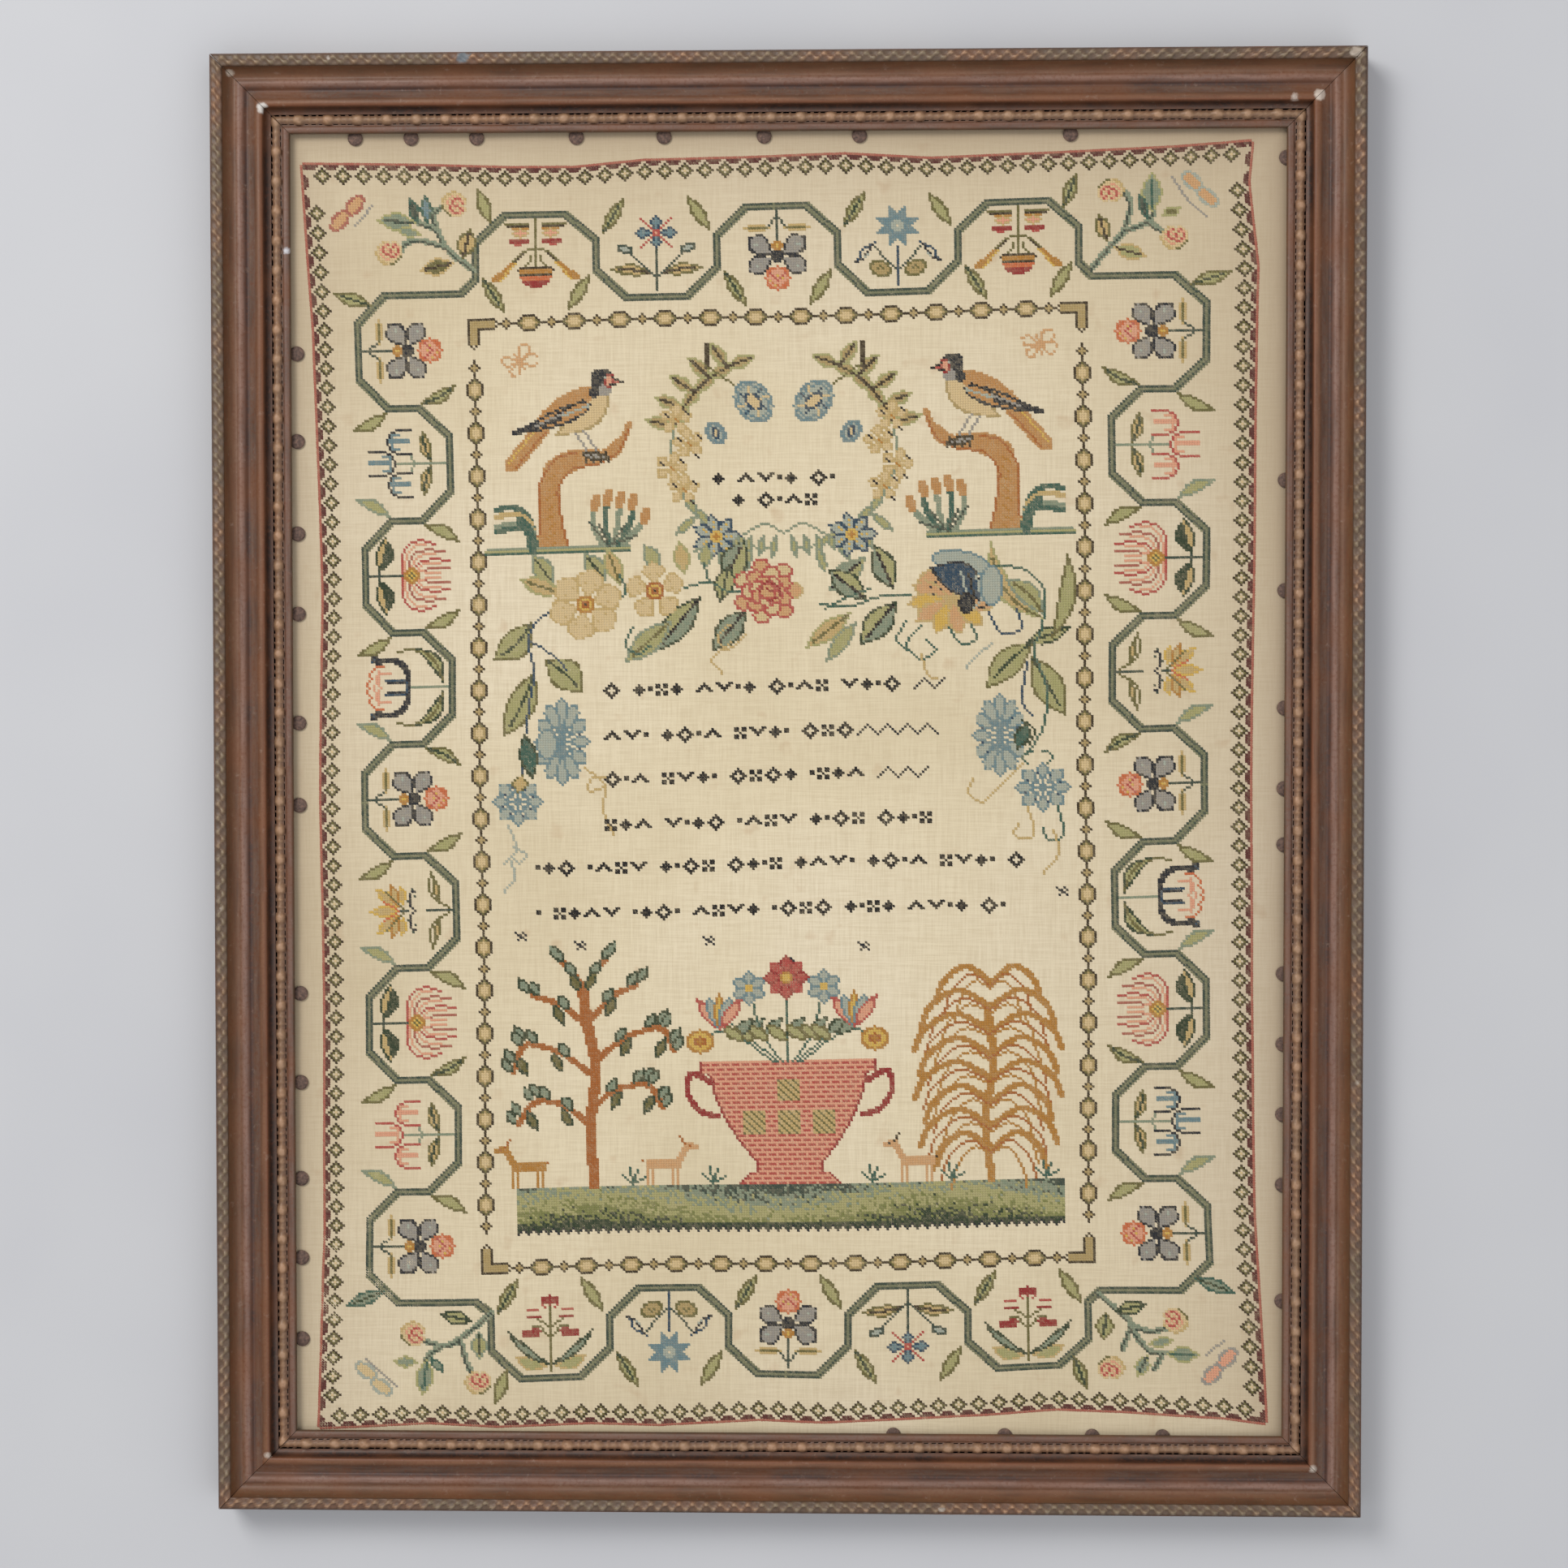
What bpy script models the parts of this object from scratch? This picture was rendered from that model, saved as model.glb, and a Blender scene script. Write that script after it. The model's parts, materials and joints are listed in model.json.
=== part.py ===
"""Framed cross stitch sampler, lying on its back: +Z out of the face, +Y to the top."""
import math

import bmesh
import bpy
import numpy as np

# Driving dimensions, metres.
FRAME_WIDTH = 0.470
FRAME_HEIGHT = 0.598
FACE_WIDTH = 0.0314          # outer edge to sight edge
MITRE_GAP = 0.0003
PIECE_GAP = 0.0003

# Moulding section: distance in from the outer edge, height above the back, mm.
SECTION_MM = [
    (0.0, 0.0), (0.0, 18.8), (0.2, 19.4), (0.6, 19.7), (5.2, 19.7), (5.5, 19.0),
    (6.2, 17.6), (7.2, 16.3), (8.4, 15.4), (9.4, 15.1), (10.2, 15.5), (11.3, 15.9),
    (12.4, 15.6), (13.3, 14.8), (14.2, 14.0), (14.9, 14.2), (16.4, 15.0), (17.7, 16.2),
    (18.4, 16.9), (19.6, 17.3), (20.7, 17.1), (21.3, 16.4), (21.5, 13.4), (22.4, 12.4),
    (23.5, 12.0), (28.3, 12.0), (28.6, 12.6), (29.6, 12.9), (30.7, 12.8), (31.4, 12.2),
    (31.4, 10.6), (25.0, 10.6), (25.0, 0.0),
]

# Pressed composition strips: start and end of the base, base height, crown height, mm.
LEAF_STRIP_MM = (0.9, 5.1, 20.0, 22.0)
BEAD_STRIP_MM = (23.8, 28.1, 12.3, 14.5)
STRIP_STEPS = 8

BOARD_SIZE = (0.4176, 0.5456)
BOARD_Z = (0.0016, 0.0066)

CLOTH_SIZE = (0.4172, 0.5452)
CLOTH_THICKNESS = 0.0010
CLOTH_MID_Z = 0.0080
CLOTH_CELLS = (30, 38)

TACK_RADIUS = 0.0031
TACK_RIM = 0.0004
TACK_DOME = 0.0008
# Tack centres along each side of the sight, metres from the side's middle, and how far
# each row sits inside the sight edge.
TACK_INSET = {"left": 0.0020, "right": -0.0002, "top": 0.0016, "bottom": -0.0010}
TACKS_LEFT = [0.178, 0.142, 0.104, 0.071, 0.026, -0.008, -0.086, -0.123,
              -0.163, -0.196, -0.230]
TACKS_RIGHT = [0.256, 0.125, 0.080, 0.032, -0.001, -0.024, -0.077, -0.106, -0.135,
               -0.164, -0.212]
TACKS_TOP = [-0.177, -0.154, -0.127, -0.086, -0.050, -0.009, 0.030, 0.116]
TACKS_BOTTOM = [0.044, 0.090, 0.126, 0.155]


def clear_scene():
    for ob in list(bpy.data.objects):
        bpy.data.objects.remove(ob, do_unlink=True)


def material(name, rgb, roughness, metallic=0.0):
    mat = bpy.data.materials.new(name)
    mat.use_nodes = True
    bsdf = next(n for n in mat.node_tree.nodes if n.type == "BSDF_PRINCIPLED")
    bsdf.inputs["Base Color"].default_value = (*rgb, 1.0)
    bsdf.inputs["Roughness"].default_value = roughness
    bsdf.inputs["Metallic"].default_value = metallic
    mat.diffuse_color = (*rgb, 1.0)
    return mat


def solid(name, points, faces, mat, smooth_angle=None):
    """One closed object, its faces turned outward."""
    mesh = bpy.data.meshes.new(name)
    mesh.from_pydata([tuple(p) for p in points], [], faces)
    bm = bmesh.new()
    bm.from_mesh(mesh)
    bmesh.ops.recalc_face_normals(bm, faces=bm.faces)
    bm.to_mesh(mesh)
    bm.free()
    mesh.materials.append(mat)
    ob = bpy.data.objects.new(name, mesh)
    bpy.context.collection.objects.link(ob)
    if smooth_angle is not None:
        mesh.shade_smooth()
        mesh.set_sharp_from_angle(angle=smooth_angle)
    return ob


def member(name, section, side, mat, smooth_angle=None):
    """A mitred length carrying one closed section round one side of the frame.

    The section is (u, z), u counted in from the outer edge. Each end of the length is
    cut on the corner's diagonal, half the mitre gap back from it.
    """
    horizontal = side in ("top", "bottom")
    along = (FRAME_WIDTH if horizontal else FRAME_HEIGHT) / 2
    across = (FRAME_HEIGHT if horizontal else FRAME_WIDTH) / 2
    sign = 1.0 if side in ("top", "right") else -1.0
    back = MITRE_GAP / 2 * math.sqrt(2)
    points = []
    for end in (-1.0, 1.0):
        for u, z in section:
            run = end * (along - u - back)
            off = sign * (across - u)
            points.append((run, off, z) if horizontal else (off, run, z))
    count = len(section)
    faces = [tuple(range(count)), tuple(range(count, 2 * count))]
    for i in range(count):
        j = (i + 1) % count
        faces.append((i, j, count + j, count + i))
    return solid(name, points, faces, mat, smooth_angle)


def strip_section(start, stop, base, crown):
    """Half an ellipse standing on a flat base, mm in, metres out."""
    middle = (start + stop) / 2
    half = (stop - start) / 2
    ring = []
    for k in range(STRIP_STEPS + 1):
        t = math.pi * k / STRIP_STEPS
        u = middle - half * math.cos(t)
        z = base + 0.25 + (crown - base - 0.25) * math.sin(t)
        ring.append((u / 1000, z / 1000))
    return [(start / 1000, base / 1000)] + ring + [(stop / 1000, base / 1000)]


def cloth_height(x, y):
    """The tacked linen's middle surface: edge scallops, two groups of pulled folds, a low swell."""
    hx, hy = CLOTH_SIZE[0] / 2, CLOTH_SIZE[1] / 2
    edge_x = (abs(x) / hx) ** 6
    edge_y = (abs(y) / hy) ** 6
    swell = 0.00022 * math.cos(math.pi * x / (2 * hx)) * math.cos(math.pi * y / (2 * hy))
    scallop = 0.00012 * edge_x * math.sin(y * 150) + 0.00010 * edge_y * math.sin(x * 165)
    low_left = math.exp(-((x + 0.185) / 0.030) ** 2 - ((y + 0.215) / 0.055) ** 2)
    top_right = math.exp(-((x - 0.175) / 0.050) ** 2 - ((y - 0.245) / 0.030) ** 2)
    folds = 0.00020 * low_left * math.sin((x * 0.8 + y) * 260)
    folds += 0.00012 * top_right * math.sin((x - y * 0.6) * 220)
    return CLOTH_MID_Z + swell + scallop + folds


def cloth(name, mat):
    nx, ny = CLOTH_CELLS
    xs = np.linspace(-CLOTH_SIZE[0] / 2, CLOTH_SIZE[0] / 2, nx + 1)
    ys = np.linspace(-CLOTH_SIZE[1] / 2, CLOTH_SIZE[1] / 2, ny + 1)
    points = []
    for offset in (CLOTH_THICKNESS / 2, -CLOTH_THICKNESS / 2):
        for y in ys:
            for x in xs:
                points.append((x, y, cloth_height(x, y) + offset))
    layer = (nx + 1) * (ny + 1)
    faces = []
    for j in range(ny):
        for i in range(nx):
            a = j * (nx + 1) + i
            quad = (a, a + 1, a + nx + 2, a + nx + 1)
            faces.append(quad)
            faces.append(tuple(layer + k for k in reversed(quad)))
    rim = [i for i in range(nx)]
    rim += [j * (nx + 1) + nx for j in range(ny)]
    rim += [ny * (nx + 1) + i for i in range(nx, 0, -1)]
    rim += [j * (nx + 1) for j in range(ny, 0, -1)]
    for k, a in enumerate(rim):
        b = rim[(k + 1) % len(rim)]
        faces.append((a, layer + a, layer + b, b))
    return solid(name, points, faces, mat, math.radians(60))


def tack(name, x, y, mat):
    """A low domed head: a short rim under a flattened dome."""
    base = cloth_height(x, y) + CLOTH_THICKNESS / 2 + PIECE_GAP
    rings = [(1.0, 0.0), (1.0, TACK_RIM), (0.80, TACK_RIM + 0.55 * TACK_DOME),
             (0.45, TACK_RIM + 0.90 * TACK_DOME)]
    sides = 16
    points = []
    for scale, rise in rings:
        for k in range(sides):
            t = 2 * math.pi * k / sides
            points.append((x + TACK_RADIUS * scale * math.cos(t),
                           y + TACK_RADIUS * scale * math.sin(t), base + rise))
    points.append((x, y, base + TACK_RIM + TACK_DOME))
    top = len(points) - 1
    faces = [tuple(reversed(range(sides)))]
    for r in range(len(rings) - 1):
        for k in range(sides):
            n = (k + 1) % sides
            faces.append((r * sides + k, r * sides + n, (r + 1) * sides + n, (r + 1) * sides + k))
    last = (len(rings) - 1) * sides
    for k in range(sides):
        faces.append((last + k, last + (k + 1) % sides, top))
    return solid(name, points, faces, mat, math.radians(50))


clear_scene()
walnut = material("stained_wood", (0.110, 0.050, 0.025), 0.45)
compo = material("composition", (0.210, 0.135, 0.080), 0.50)
linen = material("linen", (0.520, 0.430, 0.280), 0.90)
deal = material("backing_board", (0.330, 0.220, 0.120), 0.80)
iron = material("tack_iron", (0.060, 0.050, 0.045), 0.55, 0.6)

section = [(u / 1000, z / 1000) for u, z in SECTION_MM]
for side in ("top", "bottom", "left", "right"):
    member("frame_" + side, section, side, walnut, math.radians(40))
    member("leaf_strip_" + side, strip_section(*LEAF_STRIP_MM), side, compo, math.radians(50))
    member("bead_strip_" + side, strip_section(*BEAD_STRIP_MM), side, compo, math.radians(50))

bx, by = BOARD_SIZE[0] / 2, BOARD_SIZE[1] / 2
corners = [(-bx, -by), (bx, -by), (bx, by), (-bx, by)]
board_points = [(x, y, z) for z in BOARD_Z for x, y in corners]
board_faces = [(3, 2, 1, 0), (4, 5, 6, 7)]
board_faces += [(k, (k + 1) % 4, 4 + (k + 1) % 4, 4 + k) for k in range(4)]
solid("backing_board", board_points, board_faces, deal)
cloth("linen_ground", linen)

sight_x = FRAME_WIDTH / 2 - FACE_WIDTH
sight_y = FRAME_HEIGHT / 2 - FACE_WIDTH
rows = {
    "left": [(-sight_x + TACK_INSET["left"], y) for y in TACKS_LEFT],
    "right": [(sight_x - TACK_INSET["right"], y) for y in TACKS_RIGHT],
    "top": [(x, sight_y - TACK_INSET["top"]) for x in TACKS_TOP],
    "bottom": [(x, -sight_y + TACK_INSET["bottom"]) for x in TACKS_BOTTOM],
}
for side, places in rows.items():
    for number, (x, y) in enumerate(places, 1):
        tack("tack_%s_%02d" % (side, number), x, y, iron)
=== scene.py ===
import json
import math

import bpy
import numpy as np
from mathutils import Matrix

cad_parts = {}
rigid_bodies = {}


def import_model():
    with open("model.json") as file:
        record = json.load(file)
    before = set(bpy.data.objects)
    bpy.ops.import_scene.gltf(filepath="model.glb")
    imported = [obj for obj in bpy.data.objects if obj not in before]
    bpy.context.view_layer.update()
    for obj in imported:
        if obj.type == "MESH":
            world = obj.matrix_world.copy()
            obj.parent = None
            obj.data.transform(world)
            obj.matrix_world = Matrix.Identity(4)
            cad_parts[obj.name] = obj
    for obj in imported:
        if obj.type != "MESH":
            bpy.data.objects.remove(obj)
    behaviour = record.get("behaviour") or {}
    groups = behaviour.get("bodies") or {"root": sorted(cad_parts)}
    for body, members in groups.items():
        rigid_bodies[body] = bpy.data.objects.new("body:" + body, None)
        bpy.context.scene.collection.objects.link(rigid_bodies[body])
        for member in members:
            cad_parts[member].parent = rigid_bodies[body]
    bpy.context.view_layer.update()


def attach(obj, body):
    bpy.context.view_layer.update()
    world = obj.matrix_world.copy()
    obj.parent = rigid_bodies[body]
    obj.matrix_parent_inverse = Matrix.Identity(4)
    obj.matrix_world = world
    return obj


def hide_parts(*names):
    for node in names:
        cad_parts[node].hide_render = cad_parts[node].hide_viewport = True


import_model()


def toLinear(hexColour):
    # sRGB hex to linear rgba: each channel is undone by the sRGB curve, alpha is 1
    parts = [int(hexColour[k:k + 2], 16) / 255 for k in (1, 3, 5)]
    return tuple(c / 12.92 if c <= 0.04045 else ((c + 0.055) / 1.055) ** 2.4 for c in parts) + (1.0,)


def addNode(tree, kind, links=None, stops=(), **settings):
    # adds one node: settings go to its properties, or to the input of that name; links gives an input
    # another node's socket, a hex colour or a value; stops are the (place, hex) pairs of a colour ramp
    node = tree.nodes.new("ShaderNode" + kind)
    for name, value in settings.items():
        if hasattr(node, name):
            setattr(node, name, value)
        else:
            node.inputs[name.replace("_", " ")].default_value = value
    for socket, source in (links or {}).items():
        if isinstance(source, bpy.types.NodeSocket):
            tree.links.new(source, node.inputs[socket])
        else:
            node.inputs[socket].default_value = toLinear(source) if isinstance(source, str) else source
    for place, colour in stops[1:-1]:
        node.color_ramp.elements.new(place)
    for element, (place, colour) in zip(node.color_ramp.elements if stops else (), stops):
        element.position = place
        element.color = toLinear(colour)
    return node


def newMaterial(name):
    # a fresh material with one Principled shader and its output
    made = bpy.data.materials.new(name)
    made.use_nodes = True
    tree = made.node_tree
    tree.nodes.clear()
    shader = addNode(tree, "BsdfPrincipled")
    addNode(tree, "OutputMaterial", {"Surface": shader.outputs["BSDF"]})
    return made, tree, shader


def gridFaces(rows, cols, closeRows=False):
    # quads of a rows by cols grid of points, as an array; closeRows joins the last column to the first
    wide = cols if closeRows else cols - 1
    r, c = np.meshgrid(np.arange(rows - 1), np.arange(wide), indexing="ij")
    n = (c + 1) % cols
    quads = np.stack([r * cols + c, r * cols + n, (r + 1) * cols + n, (r + 1) * cols + c], -1)
    return quads.reshape(-1, 4)


def addMesh(name, points, faces, material, uv=None, values=None):
    # points (n, 3) and faces (m, k) go in whole; uv is {map: (corner, 2)}, values is {name: (n,)}
    mesh = bpy.data.meshes.new(name)
    points = np.asarray(points, np.float32).reshape(-1, 3)
    sizes = [len(f) for f in faces] if isinstance(faces, list) else None
    flat = np.concatenate([np.asarray(f) for f in faces]) if sizes else np.asarray(faces).ravel()
    counts = np.array(sizes) if sizes else np.full(len(faces), faces.shape[1])
    mesh.vertices.add(len(points))
    mesh.vertices.foreach_set("co", points.ravel())
    mesh.loops.add(len(flat))
    mesh.loops.foreach_set("vertex_index", flat.astype(np.int32))
    mesh.polygons.add(len(counts))
    mesh.polygons.foreach_set("loop_start", np.concatenate([[0], np.cumsum(counts)[:-1]]).astype(np.int32))
    mesh.update(calc_edges=True)
    for layer, spots in (uv or {}).items():
        mesh.uv_layers.new(name=layer).data.foreach_set("uv", spots.astype(np.float32).ravel())
    for label, numbers in (values or {}).items():
        mesh.attributes.new(label, "FLOAT", "POINT").data.foreach_set("value", numbers.astype(np.float32))
    mesh.polygons.foreach_set("use_smooth", np.full(len(counts), True))
    mesh.materials.append(material)
    mesh.validate()
    piece = bpy.data.objects.new(name, mesh)
    bpy.context.collection.objects.link(piece)
    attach(piece, "root")
    return piece


view = {"place": (0.0372, 0.0389, 1.2626), "turn": (-1.739, 1.747, -0.044), "lens": 70}
camera = bpy.data.objects.new("camera", bpy.data.cameras.new("camera"))
camera.location = view["place"]
camera.rotation_euler = [math.radians(a) for a in view["turn"]]
camera.data.lens = view["lens"]
camera.data.clip_start = 0.01
bpy.context.collection.objects.link(camera)
bpy.context.scene.camera = camera
bpy.context.scene.view_settings.view_transform = "Standard"

studio = {
    "windowPlace": (-1.15, 1.2, 1.9), "windowSize": 1.0, "windowWatts": 33,
    "fillPlace": (1.0, -0.7, 2.4), "fillSize": 2.4, "fillWatts": 17,
    "skyStrength": 0.49,
}
for label in ("window", "fill"):
    lamp = bpy.data.objects.new(label, bpy.data.lights.new(label, "AREA"))
    lamp.data.size = studio[label + "Size"]
    lamp.data.energy = studio[label + "Watts"]
    lamp.location = studio[label + "Place"]
    aim = -lamp.location
    lamp.rotation_euler = aim.to_track_quat("-Z", "Y").to_euler()
    bpy.context.collection.objects.link(lamp)
bpy.data.objects["window"].data.color = (1.0, 0.985, 0.96)
world = bpy.data.worlds.new("softRoom")
world.use_nodes = True
sky = next(n for n in world.node_tree.nodes if n.type == "BACKGROUND")
sky.inputs["Color"].default_value = toLinear("#F2F3F6")
sky.inputs["Strength"].default_value = studio["skyStrength"]
bpy.context.scene.world = world

floorMat, tree, shader = newMaterial("paintedPlasterFloor")  # matt, nearly even, a pale cool grey
speckle = addNode(tree, "TexNoise", {"Vector": addNode(tree, "TexCoord").outputs["Object"]}, Scale=9.0)
tree.links.new(addNode(tree, "ValToRGB", {"Fac": speckle.outputs["Fac"]},
                       stops=[(0.3, "#C9CACE"), (0.7, "#CDCED1")]).outputs["Color"],
               shader.inputs["Base Color"])
shader.inputs["Roughness"].default_value = 0.9
floorMesh = bpy.data.meshes.new("floor")
floorMesh.from_pydata([(-3, -3, 0), (3, -3, 0), (3, 3, 0), (-3, 3, 0)], [], [(0, 1, 2, 3)])
floorMesh.materials.append(floorMat)
floor = bpy.data.objects.new("floor", floorMesh)
bpy.context.collection.objects.link(floor)
print("camera, light and floor made")


moulding = {
    "width": 0.470, "height": 0.598, "mitreGap": 0.00012,
    "section": [   # distance in from the outer edge, height above the back, mm
        (0.0, 0.0), (0.0, 18.8), (0.2, 19.4), (0.6, 19.7), (5.2, 19.7), (5.5, 19.0),
        (6.2, 17.6), (7.2, 16.3), (8.4, 15.4), (9.4, 15.1), (10.2, 15.5), (11.3, 15.9),
        (12.4, 15.6), (13.3, 14.8), (14.2, 14.0), (14.9, 14.2), (16.4, 15.0), (17.7, 16.2),
        (18.4, 16.9), (19.6, 17.3), (20.7, 17.1), (21.3, 16.4), (21.5, 13.4), (22.4, 12.4),
        (23.5, 12.0), (28.3, 12.0), (28.6, 12.6), (29.6, 12.9), (30.7, 12.8), (31.4, 12.2),
        (31.4, 10.6), (25.0, 10.6), (25.0, 0.0)],
    "faceWidth": 0.0314, "lengths": 48, "ripple": 0.00005,
    # where gesso or bare wood shows through, and one painted glint on the left sight fillet, row frame
    # metres: the spot's centre, radius and tone
    "chipsAndGlint": [((-0.2275, 0.2920, 0.0162), 0.0020, "#B9A999"), ((-0.2135, 0.2770, 0.017), 0.0024, "#D6CFC8"),
              ((0.2300, 0.2965, 0.021), 0.0026, "#AD9F90"), ((0.2165, 0.2800, 0.017), 0.0028, "#CFC0B2"),
              ((0.2060, 0.2790, 0.016), 0.0018, "#C6B8AC"), ((-0.1310, 0.2965, 0.021), 0.0026, "#70757A"),
              ((-0.1860, 0.2965, 0.021), 0.0009, "#BEB3A8"), ((-0.1290, 0.2972, 0.0215), 0.0014, "#6A7075"),
              ((0.0640, -0.2965, 0.021), 0.0015, "#B9AC9E"), ((-0.2150, -0.2770, 0.016), 0.0016, "#C4B7AA"),
              # the bluish white spot at (-0.2050, 0.2200) on the left sight fillet is a painted highlight, a
              # glint, not a chip
              ((0.2155, -0.2795, 0.016), 0.0018, "#C4B7AA"), ((-0.2050, 0.2200, 0.012), 0.0016, "#CCCBD0"),
              ((0.2325, -0.1200, 0.021), 0.0011, "#B0A394"), ((-0.2320, -0.0500, 0.021), 0.0010, "#B0A394")],
}


def softened(section, hard):
    # corner cutting: each run between neighbours keeps its quarter points, except at the hard corners
    out = []
    count = len(section)
    for k in range(count):
        here = np.array(section[k], float)
        if k in hard:
            out.append(tuple(here))
            continue
        before, after = np.array(section[k - 1], float), np.array(section[(k + 1) % count], float)
        out.append(tuple(here * 0.75 + before * 0.25))
        out.append(tuple(here * 0.75 + after * 0.25))
    return out


def sideFrame(side):
    # half length, half distance across, direction sign and whether the side runs along X
    flat = side in ("top", "bottom")
    along = (moulding["width"] if flat else moulding["height"]) / 2
    across = (moulding["height"] if flat else moulding["width"]) / 2
    return along, across, 1.0 if side in ("top", "right") else -1.0, flat


def onSide(side, run, inward, height):
    # places (run along the side, distance in from the edge, height) in the row frame
    along, across, sign, flat = sideFrame(side)
    off = sign * (across - inward)
    return np.stack([run, off, height] if flat else [off, run, height], -1)


def closedLength(side, inward, height, steps, name, material, shift=None):
    # a closed section carried down one side between the two mitres: for each of steps places along the
    # side and each section point, run = place * (half length - inward - gap); the ends are flat caps
    along, across, sign, flat = sideFrame(side)
    place = np.linspace(-1, 1, steps + 1)[:, None]
    run = place * (along - inward[None, :] - moulding["mitreGap"])
    u = np.broadcast_to(inward, run.shape)
    z = np.broadcast_to(height, run.shape).copy()
    if shift is not None:
        u, z = shift(run, u, z)
    points = onSide(side, run, u, z).reshape(-1, 3)
    cols = len(inward)
    quads = gridFaces(steps + 1, cols, True)
    if (sign > 0) == flat:
        quads = quads[:, ::-1]
    caps = [np.arange(cols), np.arange(cols)[::-1] + steps * cols]
    if (sign > 0) == flat:
        caps = [c[::-1] for c in caps]
    faces = [*quads, *caps]
    flatIndex = np.concatenate(faces)
    spots = np.stack([run.ravel(), u.ravel()], -1)[flatIndex]
    piece = addMesh(name, points, faces, material, uv={"lengthwise": spots})
    piece.data.set_sharp_from_angle(angle=math.radians(45))
    return piece


# Pine under gesso, stained and varnished brown, rubbed by long use: the stain has gone pinkish grey
# on the exposed faces and stays dark in the hollows, and white gesso shows at knocked corners. The band
# tones also hold painted light: a painted highlight on the ogee and painted shade in the quirk and the step.
woodMat, tree, shader = newMaterial("stainedGessoPine")
where = addNode(tree, "TexCoord")
rows = addNode(tree, "UVMap", uv_map="lengthwise")
split = addNode(tree, "SeparateXYZ", {"Vector": rows.outputs["UV"]})
band = addNode(tree, "Math", {0: split.outputs["Y"], 1: moulding["faceWidth"]}, operation="DIVIDE")
# stain tones across the face, with a painted highlight on the ogee (0.31 to 0.40) and painted shade in the
# quirk (0.435 to 0.46) and the deep step (0.685 to 0.71)
bandStops = [(0.0, "#4E4038"), (0.02, "#65544A"), (0.15, "#66503F"), (0.18, "#6B4A30"), (0.27, "#744E33"),
             (0.31, "#7C5A45"), (0.35, "#8C6B5C"), (0.40, "#856456"), (0.435, "#4A322A"), (0.46, "#4C352D"),
             (0.49, "#6F5749"), (0.55, "#71594D"), (0.59, "#704C34"), (0.63, "#7C5236"), (0.665, "#744326"),
             (0.685, "#352620"), (0.71, "#3A2A24"), (0.745, "#6A4C3C"), (0.79, "#66493A"), (0.90, "#5E4333"),
             (0.93, "#76584A"), (0.97, "#785B4C"), (1.0, "#54402F")]
tone = addNode(tree, "ValToRGB", {"Fac": band.outputs[0]}, stops=bandStops).outputs["Color"]
# long streaks of stain: noise stretched 12 to 1 along the length, 4 mm wide, with 25 mm blotches over it
stretch = addNode(tree, "Mapping", {"Vector": rows.outputs["UV"]}, Scale=(0.09, 1.0, 1.0))
streak = addNode(tree, "TexNoise", {"Vector": stretch.outputs[0]}, Scale=420.0, Detail=4.0, Roughness=0.62)
blotch = addNode(tree, "TexNoise", {"Vector": where.outputs["Object"]}, Scale=48.0, Detail=3.0)
worn = addNode(tree, "TexNoise", {"Vector": where.outputs["Object"]}, Scale=310.0, Detail=5.0, Roughness=0.7)
streakAmount = addNode(tree, "MapRange", {"Value": streak.outputs["Fac"]}, From_Min=0.42, From_Max=0.72,
                       To_Max=0.55)
tone = addNode(tree, "Mix", {0: streakAmount.outputs[0], 6: tone, 7: "#3A2417"}, data_type="RGBA").outputs[2]
blotchAmount = addNode(tree, "MapRange", {"Value": blotch.outputs["Fac"]}, From_Min=0.46, From_Max=0.70,
                       To_Max=0.50)
tone = addNode(tree, "Mix", {0: blotchAmount.outputs[0], 6: tone, 7: "#7A4B2C"}, data_type="RGBA").outputs[2]
wornAmount = addNode(tree, "MapRange", {"Value": worn.outputs["Fac"]}, From_Min=0.60, From_Max=0.74,
                     To_Max=0.45)
tone = addNode(tree, "Mix", {0: wornAmount.outputs[0], 6: tone, 7: "#9A8272"}, data_type="RGBA").outputs[2]


def gessoChipsAndGlint(tree, tone, place, worn):
    # the tone of each chip, and of the painted glint, where the distance to its centre, roughened by the fine
    # noise, is under its radius
    for centre, radius, spotTone in moulding["chipsAndGlint"]:
        gap = addNode(tree, "VectorMath", {0: place, 1: centre}, operation="DISTANCE")
        rough = addNode(tree, "Math", {0: worn, 2: gap.outputs["Value"], 1: 0.0030}, operation="MULTIPLY_ADD")
        shape = addNode(tree, "MapRange", {"Value": rough.outputs[0]}, From_Min=radius + 0.0018,
                        From_Max=radius + 0.0007)
        tone = addNode(tree, "Mix", {0: shape.outputs[0], 6: tone, 7: spotTone}, data_type="RGBA").outputs[2]
    return tone


grain = addNode(tree, "TexNoise", {"Vector": where.outputs["Object"]}, Scale=700.0, Detail=3.0, Roughness=0.6)
grainAmount = addNode(tree, "MapRange", {"Value": grain.outputs["Fac"]})   # red-brown flecks near 1 mm
grainAmount.inputs["From Min"].default_value = 0.50
grainAmount.inputs["From Max"].default_value = 0.64
grainAmount.inputs["To Max"].default_value = 0.42
tone = addNode(tree, "Mix", {0: grainAmount.outputs[0], 6: tone, 7: "#6B3B20"}, data_type="RGBA").outputs[2]
tone = gessoChipsAndGlint(tree, tone, where.outputs["Object"], worn.outputs["Fac"])
tree.links.new(tone, shader.inputs["Base Color"])
gloss = addNode(tree, "MapRange", {"Value": blotch.outputs["Fac"]}, To_Min=0.36, To_Max=0.62)
tree.links.new(gloss.outputs[0], shader.inputs["Roughness"])
bump = addNode(tree, "Bump", {"Height": worn.outputs["Fac"]}, Strength=0.35, Distance=0.0002)
tree.links.new(bump.outputs["Normal"], shader.inputs["Normal"])

smoothSection = softened(moulding["section"], {0, 30, 31, 32})
sectionU = np.array([p[0] for p in smoothSection]) / 1000
sectionZ = np.array([p[1] for p in smoothSection]) / 1000


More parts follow.
